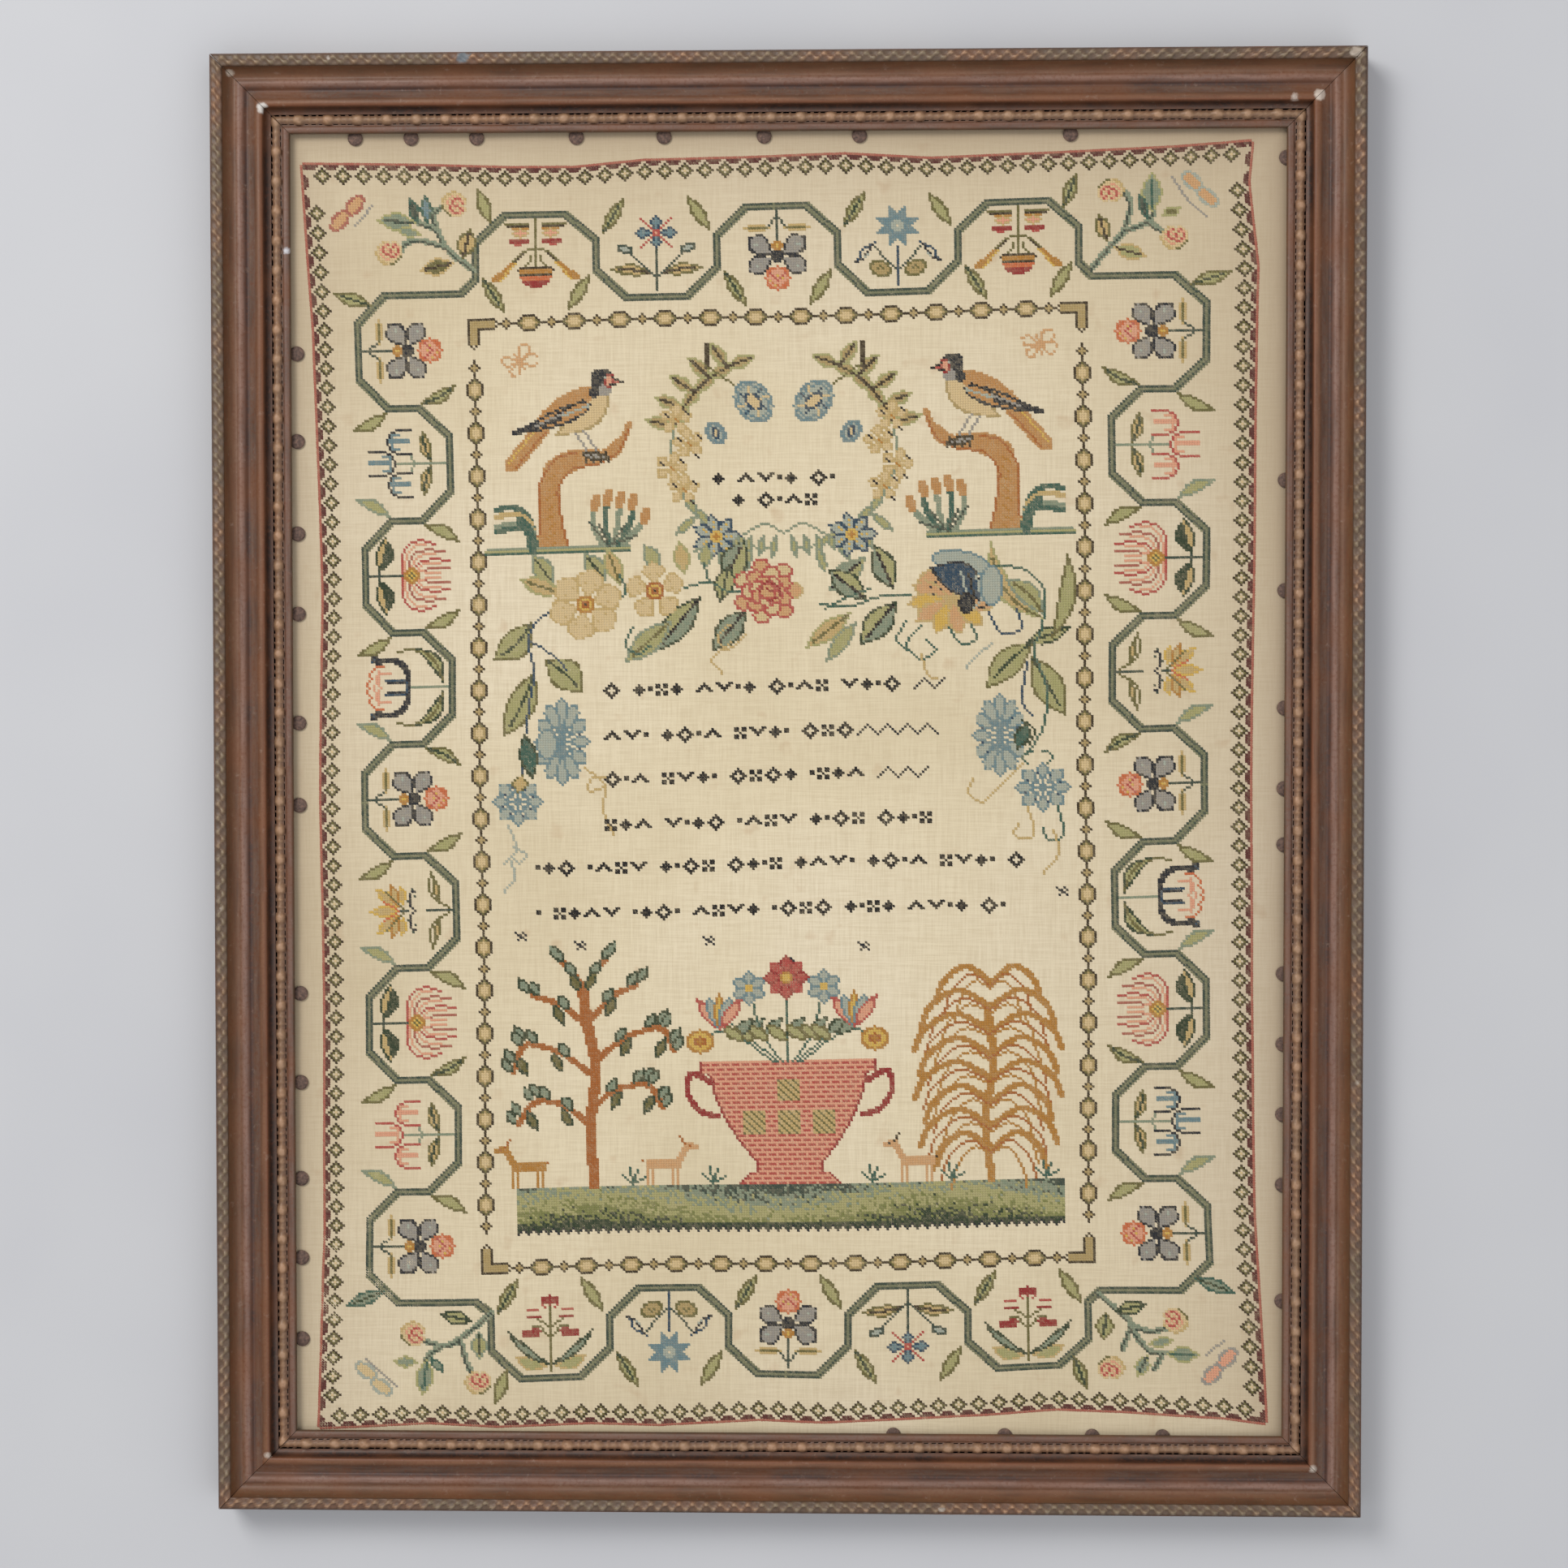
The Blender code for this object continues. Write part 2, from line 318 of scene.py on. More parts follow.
def handWorked(run, u, z):
    # a slight waviness along the length on the face only: z + ripple * (two sines of 83 and 47 mm)
    wave = np.sin(run * 75.7 + u * 90) + 0.7 * np.sin(run * 134 + 2.0 + u * 400)
    return u, z + moulding["ripple"] * wave * ((z > 0.0130) & (z < 0.0185))


for side in ("top", "bottom", "left", "right"):
    piece = closedLength(side, sectionU, sectionZ, moulding["lengths"], "moulding_" + side, woodMat,
                         shift=handWorked)
    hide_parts("frame_" + side)
print("moulding made")


leafRun = {"start": 0.0007, "stop": 0.0053, "base": 0.0197, "crown": 0.0020, "repeat": 0.0057,
           "samples": 8, "across": 7}
beadRun = {"middle": 0.0260, "base": 0.0121, "repeat": 0.0121, "beadLength": 0.0060, "beadRadius": 0.00225,
           "reelLength": 0.0019, "reelRadius": 0.00172, "coreRadius": 0.00138, "samples": 20, "around": 9}

# Composition pressed in a boxwood mould, browned with the stain: dark in the hollows, from the stain and from
# painted shade, and light on top, dulled gilt with a painted highlight.
compoMat, tree, shader = newMaterial("pressedComposition")
where = addNode(tree, "TexCoord")
relief = addNode(tree, "Attribute", attribute_name="relief")
grime = addNode(tree, "TexNoise", {"Vector": where.outputs["Object"]}, Scale=520.0, Detail=4.0)
patch = addNode(tree, "TexNoise", {"Vector": where.outputs["Object"]}, Scale=36.0, Detail=2.0)
lift = addNode(tree, "Math", {0: relief.outputs["Fac"], 1: grime.outputs["Fac"]}, operation="ADD")
level = addNode(tree, "MapRange", {"Value": lift.outputs[0]}, From_Min=0.35, From_Max=1.45)
# tone by relief height: painted shade in the hollows and a painted highlight on the crowns, over the stain's
# browns
warm = addNode(tree, "ValToRGB", {"Fac": level.outputs[0]},
               stops=[(0.0, "#5E4434"), (0.35, "#775540"), (0.62, "#85634A"), (0.85, "#987254"),
                      (1.0, "#AE8769")]).outputs["Color"]
cool = addNode(tree, "ValToRGB", {"Fac": level.outputs[0]},
               stops=[(0.0, "#584638"), (0.4, "#6E5845"), (0.75, "#7C6B54"),
                      (1.0, "#8D7A63")]).outputs["Color"]
mixAmount = addNode(tree, "MapRange", {"Value": patch.outputs["Fac"]}, From_Min=0.34, From_Max=0.56)
exposed = addNode(tree, "Attribute", attribute_name="exposed")   # 1 on the outer run, which has greyed most
greyed = addNode(tree, "Math", {0: mixAmount.outputs[0], 1: exposed.outputs["Fac"]}, operation="MULTIPLY")
tone = addNode(tree, "Mix", {0: greyed.outputs[0], 6: warm, 7: cool}, data_type="RGBA").outputs[2]
tone = gessoChipsAndGlint(tree, tone, where.outputs["Object"], grime.outputs["Fac"])
tree.links.new(tone, shader.inputs["Base Color"])
shader.inputs["Roughness"].default_value = 0.5
bump = addNode(tree, "Bump", {"Height": grime.outputs["Fac"]}, Strength=0.3, Distance=0.00015)
tree.links.new(bump.outputs["Normal"], shader.inputs["Normal"])


def ornamentLength(name, side, inward, steps, relievedBy, nodeName):
    # an open-backed run closed underneath: columns go over the relief, then one flat strip joins them below
    along, across, sign, flat = sideFrame(side)
    place = np.linspace(-1, 1, steps + 1)[:, None]
    run = place * (along - inward[None, :] - moulding["mitreGap"])
    height, relief = relievedBy(run, np.broadcast_to(inward, run.shape))
    u = np.broadcast_to(inward, run.shape)
    points = onSide(side, run, u, height).reshape(-1, 3)
    cols = len(inward)
    quads = gridFaces(steps + 1, cols, True)
    caps = [np.arange(cols), np.arange(cols)[::-1] + steps * cols]
    if (sign > 0) == flat:
        quads = quads[:, ::-1]
        caps = [c[::-1] for c in caps]
    exposed = np.full(relief.size, 1.0 if nodeName == "leaf_strip_" else 0.25)
    piece = addMesh(name, points, [*quads, *caps], compoMat,
                    values={"relief": relief.ravel(), "exposed": exposed})
    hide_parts(nodeName + side)
    return piece


def leafRelief(run, u):
    # a running stem that swings from side to side once a repeat, with a bud in each bend and a small
    # leaf opposite: height = base + crown * (rope + buds), the first and last columns stay on the base
    low, high, pitch = leafRun["start"], leafRun["stop"], leafRun["repeat"]
    across = (u - (low + high) / 2) / ((high - low) / 2)
    phase = run / pitch * 2 * np.pi
    rope = np.exp(-((across - 0.42 * np.sin(phase)) / 0.26) ** 2)
    turn = (run / pitch - 0.25) % 1.0 - 0.5
    other = (run / pitch - 0.75) % 1.0 - 0.5
    buds = np.exp(-(turn / 0.17) ** 2 - ((across + 0.45) / 0.30) ** 2)
    buds += np.exp(-(other / 0.17) ** 2 - ((across - 0.45) / 0.30) ** 2)
    tall = np.clip(0.55 * rope + 0.85 * buds, 0, 1)
    edge = np.abs(across) > 0.999
    height = leafRun["base"] + np.where(edge, 0.0, 0.0006 + (leafRun["crown"] - 0.0006) * tall)
    return height, np.where(edge, 0.0, tall)


def beadRelief(run, u):
    # long beads with two reels between: the radius along the run is an ellipse for the bead, two short
    # ellipses for the reels and a thin core, and height = base + sqrt(radius^2 - (u - middle)^2)
    step = (run / beadRun["repeat"]) % 1.0 * beadRun["repeat"] - beadRun["repeat"] / 2
    bead = beadRun["beadRadius"] * np.sqrt(np.clip(1 - (step / (beadRun["beadLength"] / 2)) ** 2, 0, 1))
    gap = beadRun["repeat"] / 2 - beadRun["beadLength"] / 2
    first = beadRun["beadLength"] / 2 + gap * 0.5
    reel = np.zeros_like(step)
    for centre in (first, -first):
        shape = 1 - ((step - centre) / (beadRun["reelLength"] / 2)) ** 2
        reel = np.maximum(reel, beadRun["reelRadius"] * np.clip(shape, 0, 1) ** 0.35)
    radius = np.maximum(np.maximum(bead, reel), beadRun["coreRadius"])
    off = u - beadRun["middle"]
    rise = np.sqrt(np.clip(radius ** 2 - off ** 2, 0, None))
    return beadRun["base"] + rise, rise / beadRun["beadRadius"]


leafColumns = np.concatenate([[leafRun["start"]], np.linspace(leafRun["start"] + 0.0001,
                              leafRun["stop"] - 0.0001, leafRun["across"]), [leafRun["stop"]]])
fan = np.cos(np.linspace(np.pi, 0, beadRun["around"]))
beadColumns = beadRun["middle"] + fan * beadRun["beadRadius"]
for side in ("top", "bottom", "left", "right"):
    length = sideFrame(side)[0] * 2
    ornamentLength("leafRun_" + side, side, leafColumns,
                   int(length / leafRun["repeat"] * leafRun["samples"]), leafRelief, "leaf_strip_")
    ornamentLength("beadRun_" + side, side, beadColumns,
                   int(length / beadRun["repeat"] * beadRun["samples"]), beadRelief, "bead_strip_")
print("leaf and bead runs made")


linen = {"width": 0.4172, "height": 0.5452, "thickness": 0.0009, "middle": 0.0080, "cells": (92, 120),
         "swell": 0.00022, "stitchWide": 0.00103,
         # dust and the painted shadow of the lips start at these lines, from the middle; at the foot the line
         # is further out, so the foot is less darkened
         "dustAndShadeSide": 0.2036, "dustAndShadeHead": 0.2676, "dustAndShadeFoot": 0.2956}


def clothHeight(x, y):
    # the tacked sheet's middle: a low swell, scallops pulled by the tacks along the edges, two groups of
    # slanting folds at the lower left and upper right, and a fine cockle from the stitching
    hx, hy = linen["width"] / 2, linen["height"] / 2
    swell = linen["swell"] * np.cos(np.pi * x / (2 * hx)) * np.cos(np.pi * y / (2 * hy))
    edgeX, edgeY = (np.abs(x) / hx) ** 6, (np.abs(y) / hy) ** 6
    scallop = 0.00012 * edgeX * np.sin(y * 150) + 0.00010 * edgeY * np.sin(x * 165)
    lowLeft = np.exp(-((x + 0.185) / 0.030) ** 2 - ((y + 0.215) / 0.055) ** 2)
    topRight = np.exp(-((x - 0.175) / 0.050) ** 2 - ((y - 0.245) / 0.030) ** 2)
    folds = 0.00020 * lowLeft * np.sin((x * 0.8 + y) * 260) + 0.00012 * topRight * np.sin((x - y * 0.6) * 220)
    cockle = 0.00003 * np.sin(x * 410 + 2 * np.sin(y * 97)) * np.sin(y * 380 + 2 * np.sin(x * 113))
    return linen["middle"] + swell + scallop + folds + cockle


# Even-weave linen, unbleached and yellowed: plain weave of 0.51 mm threads two to a stitch, uneven slubs,
# greyer towards the edges, partly from settled dust and partly as the painted shadow of the frame's lips,
# greyer towards the right as painted shade and darker towards the top, a little browner in large soft clouds.
linenMat, tree, shader = newMaterial("unbleachedLinen")
where = addNode(tree, "TexCoord")
axes = addNode(tree, "SeparateXYZ", {"Vector": where.outputs["Object"]})
threadGap = linen["stitchWide"] / 2
heights = []
for axis in ("X", "Y"):
    turns = addNode(tree, "Math", {0: axes.outputs[axis], 1: 2 * math.pi / threadGap}, operation="MULTIPLY")
    heights.append(addNode(tree, "Math", {0: turns.outputs[0]}, operation="SINE").outputs[0])
weave = addNode(tree, "Math", {0: heights[0], 1: heights[1]}, operation="MULTIPLY")
slubs = []
for scale in ((30.0, 900.0, 1.0), (900.0, 30.0, 1.0)):   # slubs 1 mm wide and some 30 mm long, each way
    lay = addNode(tree, "Mapping", {"Vector": where.outputs["Object"]}, Scale=scale)
    slubs.append(addNode(tree, "TexNoise", {"Vector": lay.outputs[0]}, Scale=1.0, Detail=2.0).outputs["Fac"])
slub = addNode(tree, "Math", {0: slubs[0], 1: slubs[1]}, operation="ADD")
threads = []
for scale in ((110.0, 1940.0, 1.0), (1940.0, 110.0, 1.0)):   # single threads 0.5 mm wide, uneven in tone
    lay = addNode(tree, "Mapping", {"Vector": where.outputs["Object"]}, Scale=scale)
    threads.append(addNode(tree, "TexNoise", {"Vector": lay.outputs[0]}, Scale=1.0,
                           Detail=0.0).outputs["Fac"])
thread = addNode(tree, "Math", {0: threads[0], 1: threads[1]}, operation="ADD")
clouds = addNode(tree, "TexNoise", {"Vector": where.outputs["Object"]}, Scale=7.0, Detail=3.0)
foxing = addNode(tree, "TexNoise", {"Vector": where.outputs["Object"]}, Scale=90.0, Detail=2.0)
tone = addNode(tree, "ValToRGB", {"Fac": clouds.outputs["Fac"]},
               stops=[(0.30, "#DACAA7"), (0.50, "#E4D5B4"), (0.70, "#E9DBBE")]).outputs["Color"]
slubAmount = addNode(tree, "MapRange", {"Value": slub.outputs[0]}, From_Min=0.86, From_Max=1.22, To_Max=0.26)
tone = addNode(tree, "Mix", {0: slubAmount.outputs[0], 6: tone, 7: "#C6B493"}, data_type="RGBA").outputs[2]
threadAmount = addNode(tree, "MapRange", {"Value": thread.outputs[0]}, From_Min=0.85, From_Max=1.30,
                       To_Max=0.24)
tone = addNode(tree, "Mix", {0: threadAmount.outputs[0], 6: tone, 7: "#BCA782"}, data_type="RGBA").outputs[2]
foxAmount = addNode(tree, "MapRange", {"Value": foxing.outputs["Fac"]}, From_Min=0.66, From_Max=0.78,
                    To_Max=0.35)
tone = addNode(tree, "Mix", {0: foxAmount.outputs[0], 6: tone, 7: "#BC9A74"}, data_type="RGBA").outputs[2]
dustAndShade = addNode(tree, "Attribute", attribute_name="dustAndShade")
# dust and painted shade, mixed in by the attribute
tone = addNode(tree, "Mix", {0: dustAndShade.outputs["Fac"], 6: tone, 7: "#A8937A"}, data_type="RGBA").outputs[2]
tree.links.new(tone, shader.inputs["Base Color"])
shader.inputs["Roughness"].default_value = 0.92
shader.inputs["Sheen Weight"].default_value = 0.15
# the even weave is kept low, so that it does not shimmer from afar
raised = addNode(tree, "Math", {0: weave.outputs[0], 2: slub.outputs[0], 1: 0.12}, operation="MULTIPLY_ADD")
bump = addNode(tree, "Bump", {"Height": raised.outputs[0]}, Strength=0.45, Distance=0.00012)
tree.links.new(bump.outputs["Normal"], shader.inputs["Normal"])

nx, ny = linen["cells"]
gx, gy = np.meshgrid(np.linspace(-1, 1, nx + 1) * linen["width"] / 2,
                     np.linspace(-1, 1, ny + 1) * linen["height"] / 2)
mid = clothHeight(gx, gy)
upper = np.stack([gx, gy, mid + linen["thickness"] / 2], -1).reshape(-1, 3)
lower = np.stack([gx, gy, mid - linen["thickness"] / 2], -1).reshape(-1, 3)
topQuads = gridFaces(ny + 1, nx + 1)
lowQuads = topQuads[:, ::-1] + len(upper)
order = np.arange((nx + 1) * (ny + 1)).reshape(ny + 1, nx + 1)
rim = np.concatenate([order[0, :-1], order[:-1, -1], order[-1, :0:-1], order[:0:-1, 0]])
nextRim = np.roll(rim, -1)
rimQuads = np.stack([rim, rim + len(upper), nextRim + len(upper), nextRim], -1)
dustAndShadeEnd = np.where(gy < 0, linen["dustAndShadeFoot"], linen["dustAndShadeHead"])
toEdge = np.minimum(linen["dustAndShadeSide"] - np.abs(gx), dustAndShadeEnd - np.abs(gy))
toEdge = np.clip(toEdge, 0, None)
# the two terms in the distance to the edge lines are settled dust and the painted shadow of the lips; the
# term in x is painted shade, darker towards the right; the term in y darkens towards the top
dustAndShadeAmount = (0.30 * np.exp(-toEdge / 0.0075) + 0.42 * np.exp(-toEdge / 0.042)
              + 0.14 * np.clip(gx / 0.2, 0, 1) ** 2 + 0.10 * np.clip(gy / 0.26, 0, 1) ** 2).clip(0, 1).ravel()
cloth = addMesh("linenGround", np.concatenate([upper, lower]), np.concatenate([topQuads, lowQuads, rimQuads]),
                linenMat, values={"dustAndShade": np.tile(dustAndShadeAmount, 2)})
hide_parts("linen_ground")
print("linen made")


# Hand-forged iron tacks, rusted to a purple brown with a dull worn crown.
tackMat, tree, shader = newMaterial("rustedIronTack")
where = addNode(tree, "TexCoord")
rust = addNode(tree, "TexNoise", {"Vector": where.outputs["Object"]}, Scale=900.0, Detail=4.0, Roughness=0.65)
tree.links.new(addNode(tree, "ValToRGB", {"Fac": rust.outputs["Fac"]},
                       stops=[(0.32, "#4B3C37"), (0.52, "#6B554B"), (0.70, "#86695A")]).outputs["Color"],
               shader.inputs["Base Color"])
shader.inputs["Roughness"].default_value = 0.78
shader.inputs["Metallic"].default_value = 0.15
bump = addNode(tree, "Bump", {"Height": rust.outputs["Fac"]}, Strength=0.5, Distance=0.0002)
tree.links.new(bump.outputs["Normal"], shader.inputs["Normal"])

# Planed deal board, gone grey-brown behind the cloth: long growth rings as stretched noise, 6 mm apart.
boardMat, tree, shader = newMaterial("planedDealBoard")
where = addNode(tree, "TexCoord")
lay = addNode(tree, "Mapping", {"Vector": where.outputs["Object"]}, Scale=(170.0, 5.0, 170.0))
rings = addNode(tree, "TexNoise", {"Vector": lay.outputs[0]}, Scale=1.0, Detail=4.0, Distortion=0.6)
tree.links.new(addNode(tree, "ValToRGB", {"Fac": rings.outputs["Fac"]},
                       stops=[(0.30, "#6F5439"), (0.48, "#9A7A55"), (0.66, "#AE8F68")]).outputs["Color"],
               shader.inputs["Base Color"])
shader.inputs["Roughness"].default_value = 0.85
for node in bpy.data.objects:
    made = tackMat if node.name.startswith("tack_") else boardMat if node.name == "backing_board" else None
    if made:
        for place in range(len(node.material_slots)):
            node.material_slots[place].link = "OBJECT"
            node.material_slots[place].material = made
print("tacks and board given their materials")


# The embroidery is drawn cell by cell on a chart; a cell holds 0 for bare linen or a silk's number.
# Upright small charts have their foot at the centre and are stamped on the big one in quarter turns.

silk = {   # thread colours
    "madder": "#5C2F29", "clay": "#A7604F", "rose": "#B04F45", "blush": "#D99B7C", "coral": "#C5693F",
    "brick": "#93302C", "slate": "#26282C", "dove": "#958F85", "indigo": "#2F4657", "sky": "#6B8386",
    "mist": "#A3A899", "teal": "#3E4A3E", "sage": "#838D75", "pine": "#33402A", "olive": "#6B6438",
    "lime": "#A49F6A", "straw": "#C0A46C", "gold": "#B07B34", "rust": "#A5612A", "umber": "#3F3320",
    "ink": "#1B1817", "honey": "#CFA950", "sand": "#CB9C6C", "spruce": "#3D5D4E", "grass": "#7C7E48",
    "moss": "#77785A", "cream": "#D2B888", "fawn": "#AC9461", "tan": "#B9864E",
}
silkNumber = {name: k + 1 for k, name in enumerate(silk)}


def blank(half):
    # an empty square chart reaching half cells each way
    return np.zeros((2 * half + 1, 2 * half + 1), np.int8)


def put(canvas, x, y, thread):
    # fills the cells nearest to the points, leaving out those off the chart
    col = np.rint(np.atleast_1d(x)).astype(int) + canvas.shape[1] // 2
    row = np.rint(np.atleast_1d(y)).astype(int) + canvas.shape[0] // 2
    inside = (col >= 0) & (col < canvas.shape[1]) & (row >= 0) & (row < canvas.shape[0])
    canvas[row[inside], col[inside]] = silkNumber[thread] if thread else 0


def stroke(canvas, points, thread, bend=True, thick=1, double=False):
    # a line of cells through the points; with bend it is a Catmull-Rom curve; double adds its mirror in x
    spots = np.array(points, float)
    if bend and len(spots) > 2:
        padded = np.vstack([2 * spots[0] - spots[1], spots, 2 * spots[-1] - spots[-2]])
        t = np.linspace(0, 1, 30, endpoint=False)[:, None]
        runs = []
        for k in range(len(spots) - 1):
            a, b, c, d = padded[k:k + 4]
            runs.append(0.5 * (2 * b + (c - a) * t + (2 * a - 5 * b + 4 * c - d) * t ** 2
                               + (3 * b - a - 3 * c + d) * t ** 3))
        way = np.vstack(runs + [spots[-1:]])
    else:
        way = np.vstack([a + (b - a) * np.linspace(0, 1, int(2 * np.abs(b - a).max()) + 2)[:, None]
                         for a, b in zip(spots[:-1], spots[1:])])
    cells = np.rint(way).astype(int)
    cells = cells[np.r_[True, np.any(cells[1:] != cells[:-1], axis=1)]]
    keep = [cells[0]]
    for k in range(1, len(cells)):   # a stair's inner corner is left out, so a thin line stays thin
        if k + 1 < len(cells) and np.abs(cells[k + 1] - keep[-1]).max() == 1 and thick == 1:
            continue
        keep.append(cells[k])
    cells = np.array(keep)
    reach = np.arange(thick) - (thick - 1) // 2
    for dx in reach:
        for dy in reach:
            put(canvas, cells[:, 0] + dx, cells[:, 1] + dy, thread)
            if double:
                put(canvas, -cells[:, 0] - dx, cells[:, 1] + dy, thread)


def patch(x, y, reach):
    # the cell centres of the square around a point
    near = np.arange(-reach, reach + 1)
    return np.meshgrid(near + round(x), near + round(y))


def blob(canvas, x, y, rx, ry, edge, fill=None, turn=0.0, double=False):
    # an oval: cells inside it take the fill, cells in its outermost ring take the edge
    px, py = patch(x, y, int(max(rx, ry)) + 2)
    c, s = math.cos(math.radians(turn)), math.sin(math.radians(turn))
    a, b = (px - x) * c + (py - y) * s, (py - y) * c - (px - x) * s
    far = np.sqrt((a / rx) ** 2 + (b / ry) ** 2)
    inner = np.sqrt((a / max(rx - 1, 0.3)) ** 2 + (b / max(ry - 1, 0.3)) ** 2)
    for sign in ((1, -1) if double else (1,)):
        if fill:
            put(canvas, sign * px[far <= 1], py[far <= 1], fill)
        if edge:
            ring = (far <= 1) & (inner > 1)
            put(canvas, sign * px[ring], py[ring], edge)


def leaf(canvas, root, tip, half, edge, fill, vein=None, widest=0.5, bow=0.0, other=None, double=False):
    # a pointed leaf from root to tip, half cells to each side where it is widest; other fills one side
    (x0, y0), (x1, y1) = root, tip
    length = math.hypot(x1 - x0, y1 - y0)
    px, py = patch((x0 + x1) / 2, (y0 + y1) / 2, int(length / 2 + half + abs(bow)) + 3)
    ax, ay = (x1 - x0) / length, (y1 - y0) / length
    t = ((px - x0) * ax + (py - y0) * ay) / length
    inT = np.clip(t, 0, 1)
    d = (py - y0) * ax - (px - x0) * ay - bow * 4 * inT * (1 - inT)
    wide = half * np.sin(np.pi * inT ** (math.log(0.5) / math.log(widest))) + 0.35
    inside = (np.abs(d) <= wide) & (t > -0.02) & (t < 1.02)
    for sign in ((1, -1) if double else (1,)):
        if fill:
            put(canvas, sign * px[inside], py[inside], fill)
        if other:
            part = inside & (d > 0)
            put(canvas, sign * px[part], py[part], other)
        if edge:
            ring = inside & (np.abs(d) > wide - 1.0)
            put(canvas, sign * px[ring], py[ring], edge)
        if vein:
            mid = (np.abs(d) <= 0.55) & (t > 0.02) & (t < 0.86)
            put(canvas, sign * px[mid], py[mid], vein)


def rows(canvas, x, y, lines, key):
    # a small motif given row by row, its top row at y and its first column at x; a full stop is bare linen
    for down, line in enumerate(lines):
        for along, mark in enumerate(line):
            if mark != ".":
                put(canvas, x + along, y - down, key[mark])


def stamp(canvas, small, x, y, quarters=0, flip=False):
    # lays a small chart with its centre at (x, y), turned anticlockwise by quarters
    turned = np.rot90(small[:, ::-1] if flip else small, -quarters)
    r, c = np.nonzero(turned)
    row = r - turned.shape[0] // 2 + y + canvas.shape[0] // 2
    col = c - turned.shape[1] // 2 + x + canvas.shape[1] // 2
    inside = (row >= 0) & (row < canvas.shape[0]) & (col >= 0) & (col < canvas.shape[1])
    canvas[row[inside], col[inside]] = turned[r[inside], c[inside]]


chart = np.zeros((561, 401), np.int8)

# outer line: six cells of madder and a gap of two, clay behind it, small diamonds hanging from the gaps
for sign in (-1, 1):
    along = np.arange(-187, 188)
    put(chart, along, np.full_like(along, sign * 265), "clay")
    up = np.arange(-264, 265)
    put(chart, np.full_like(up, sign * 188), up, "clay")
    for step, count in ((0, 6), (1, 4)):
        solid = along[(along + 187 - step) % 8 < count]
        put(chart, solid, np.full_like(solid, sign * (264 - step)), "madder")
        solid = up[(up + 265 - step) % 8 < count]
        put(chart, np.full_like(solid, sign * (187 - step)), solid, "madder")
diamond = blank(5)
ringX, ringY = patch(0, 0, 3)
outward = np.abs(ringX) + np.abs(ringY)
for near, thread in ((0, "cream"), (2, "olive"), (3, "umber")):
    put(diamond, ringX[outward == near], ringY[outward == near], thread)
ring = outward == 2
for x in range(-180, 181, 8):
    stamp(chart, diamond, x, 260)
    stamp(chart, diamond, x, -260, 2)
for y in range(-251, 252, 8):
    stamp(chart, diamond, -183, y, 1)
    stamp(chart, diamond, 183, y, 3)

# meander of half octagons: one quarter's corner points, carried round by mirroring
quarter = [(0, 244.5), (12, 244.5), (24, 232.5), (24, 219.5), (36, 207.5), (60, 207.5), (72, 219.5),
           (72, 232.5),
           (84, 244.5), (108, 244.5), (120, 232.5), (120, 217), (125.5, 211.5), (157, 211.5), (169, 199.5),
           (169, 176.5), (157, 164.5), (144, 164.5), (132, 152.5), (132, 129.5), (144, 117.5), (157, 117.5),
           (169, 105.5), (169, 82.5), (157, 70.5), (144, 70.5), (132, 58.5), (132, 35.5), (144, 23.5),
           (157, 23.5), (169, 11.5), (169, 0)]
track = np.array(quarter)
for sx in (-1, 1):
    for sy in (-1, 1):
        turned = track * (sx, sy)
        for offset, thread, thick in ((0, "moss", 3), (1, "teal", 1), (-1, "teal", 1)):
            ahead = np.vstack([turned[1:] - turned[:-1], turned[-1:] - turned[-2:-1]])
            ahead /= np.abs(ahead).max(axis=1)[:, None]
            behind = np.vstack([ahead[:1], ahead[:-1]])
            side = np.stack([-(ahead + behind)[:, 1], (ahead + behind)[:, 0]], -1)
            side /= np.maximum(np.abs(side).max(axis=1)[:, None], 1e-6)
            stroke(chart, np.floor(turned + offset * side + 0.01), thread, bend=False, thick=thick)

# chain of long links with small diamonds between, and an angle link at each corner
link = blank(8)
for row, half in ((0, 5), (1, 4), (2, 3), (3, 2)):
    for sign in (-1, 1):
        span = np.arange(-half, half + 1)
        put(link, span, np.full_like(span, sign * row), "umber" if row == 3 else "fawn")
        put(link, [-half, half], [sign * row] * 2, "umber")
for row, half in ((0, 2), (1, 1)):   # a paler heart
    for sign in (-1, 1):
        put(link, np.arange(-half, half + 1), np.full(2 * half + 1, sign * row), "cream")
put(link, [-4, 4, -3, -3, 3, 3], [0, 0, 1, -1, 1, -1], "olive")
spacer = blank(8)
put(spacer, ringX[outward < 2], ringY[outward < 2], "fawn")
put(spacer, ringX[ring], ringY[ring], "umber")
put(spacer, [-3, 3], [0, 0], "umber")
for k in range(-6, 6):
    for sign in (-1, 1):
        stamp(chart, link, 9 + 18 * k, sign * 198)
for k in range(-6, 7):
    for sign in (-1, 1):
        stamp(chart, spacer, 18 * k, sign * 198)
for k in range(-10, 10):
    for sign in (-1, 1):
        stamp(chart, link, sign * 121, 9 + 18 * k, 1)
for k in range(-10, 11):
    for sign in (-1, 1):
        stamp(chart, spacer, sign * 121, 18 * k, 1)
angle = blank(16)
for a, b, thick, thread in (((0, 0), (6, 0), 5, "umber"), ((0, 0), (0, -6), 5, "umber"),
                            ((0, 0), (7, 0), 3, "fawn"), ((0, 0), (0, -7), 3, "fawn")):
    stroke(angle, [a, b], thread, bend=False, thick=thick)
for k in (-1, 0, 1):
    put(angle, [9 + (k == 0), k], [k, -9 - (k == 0)], "umber")
for x, y, quarters in ((-121, 198, 0), (121, 198, 3), (121, -198, 2), (-121, -198, 1)):
    stamp(chart, angle, x, y, quarters)


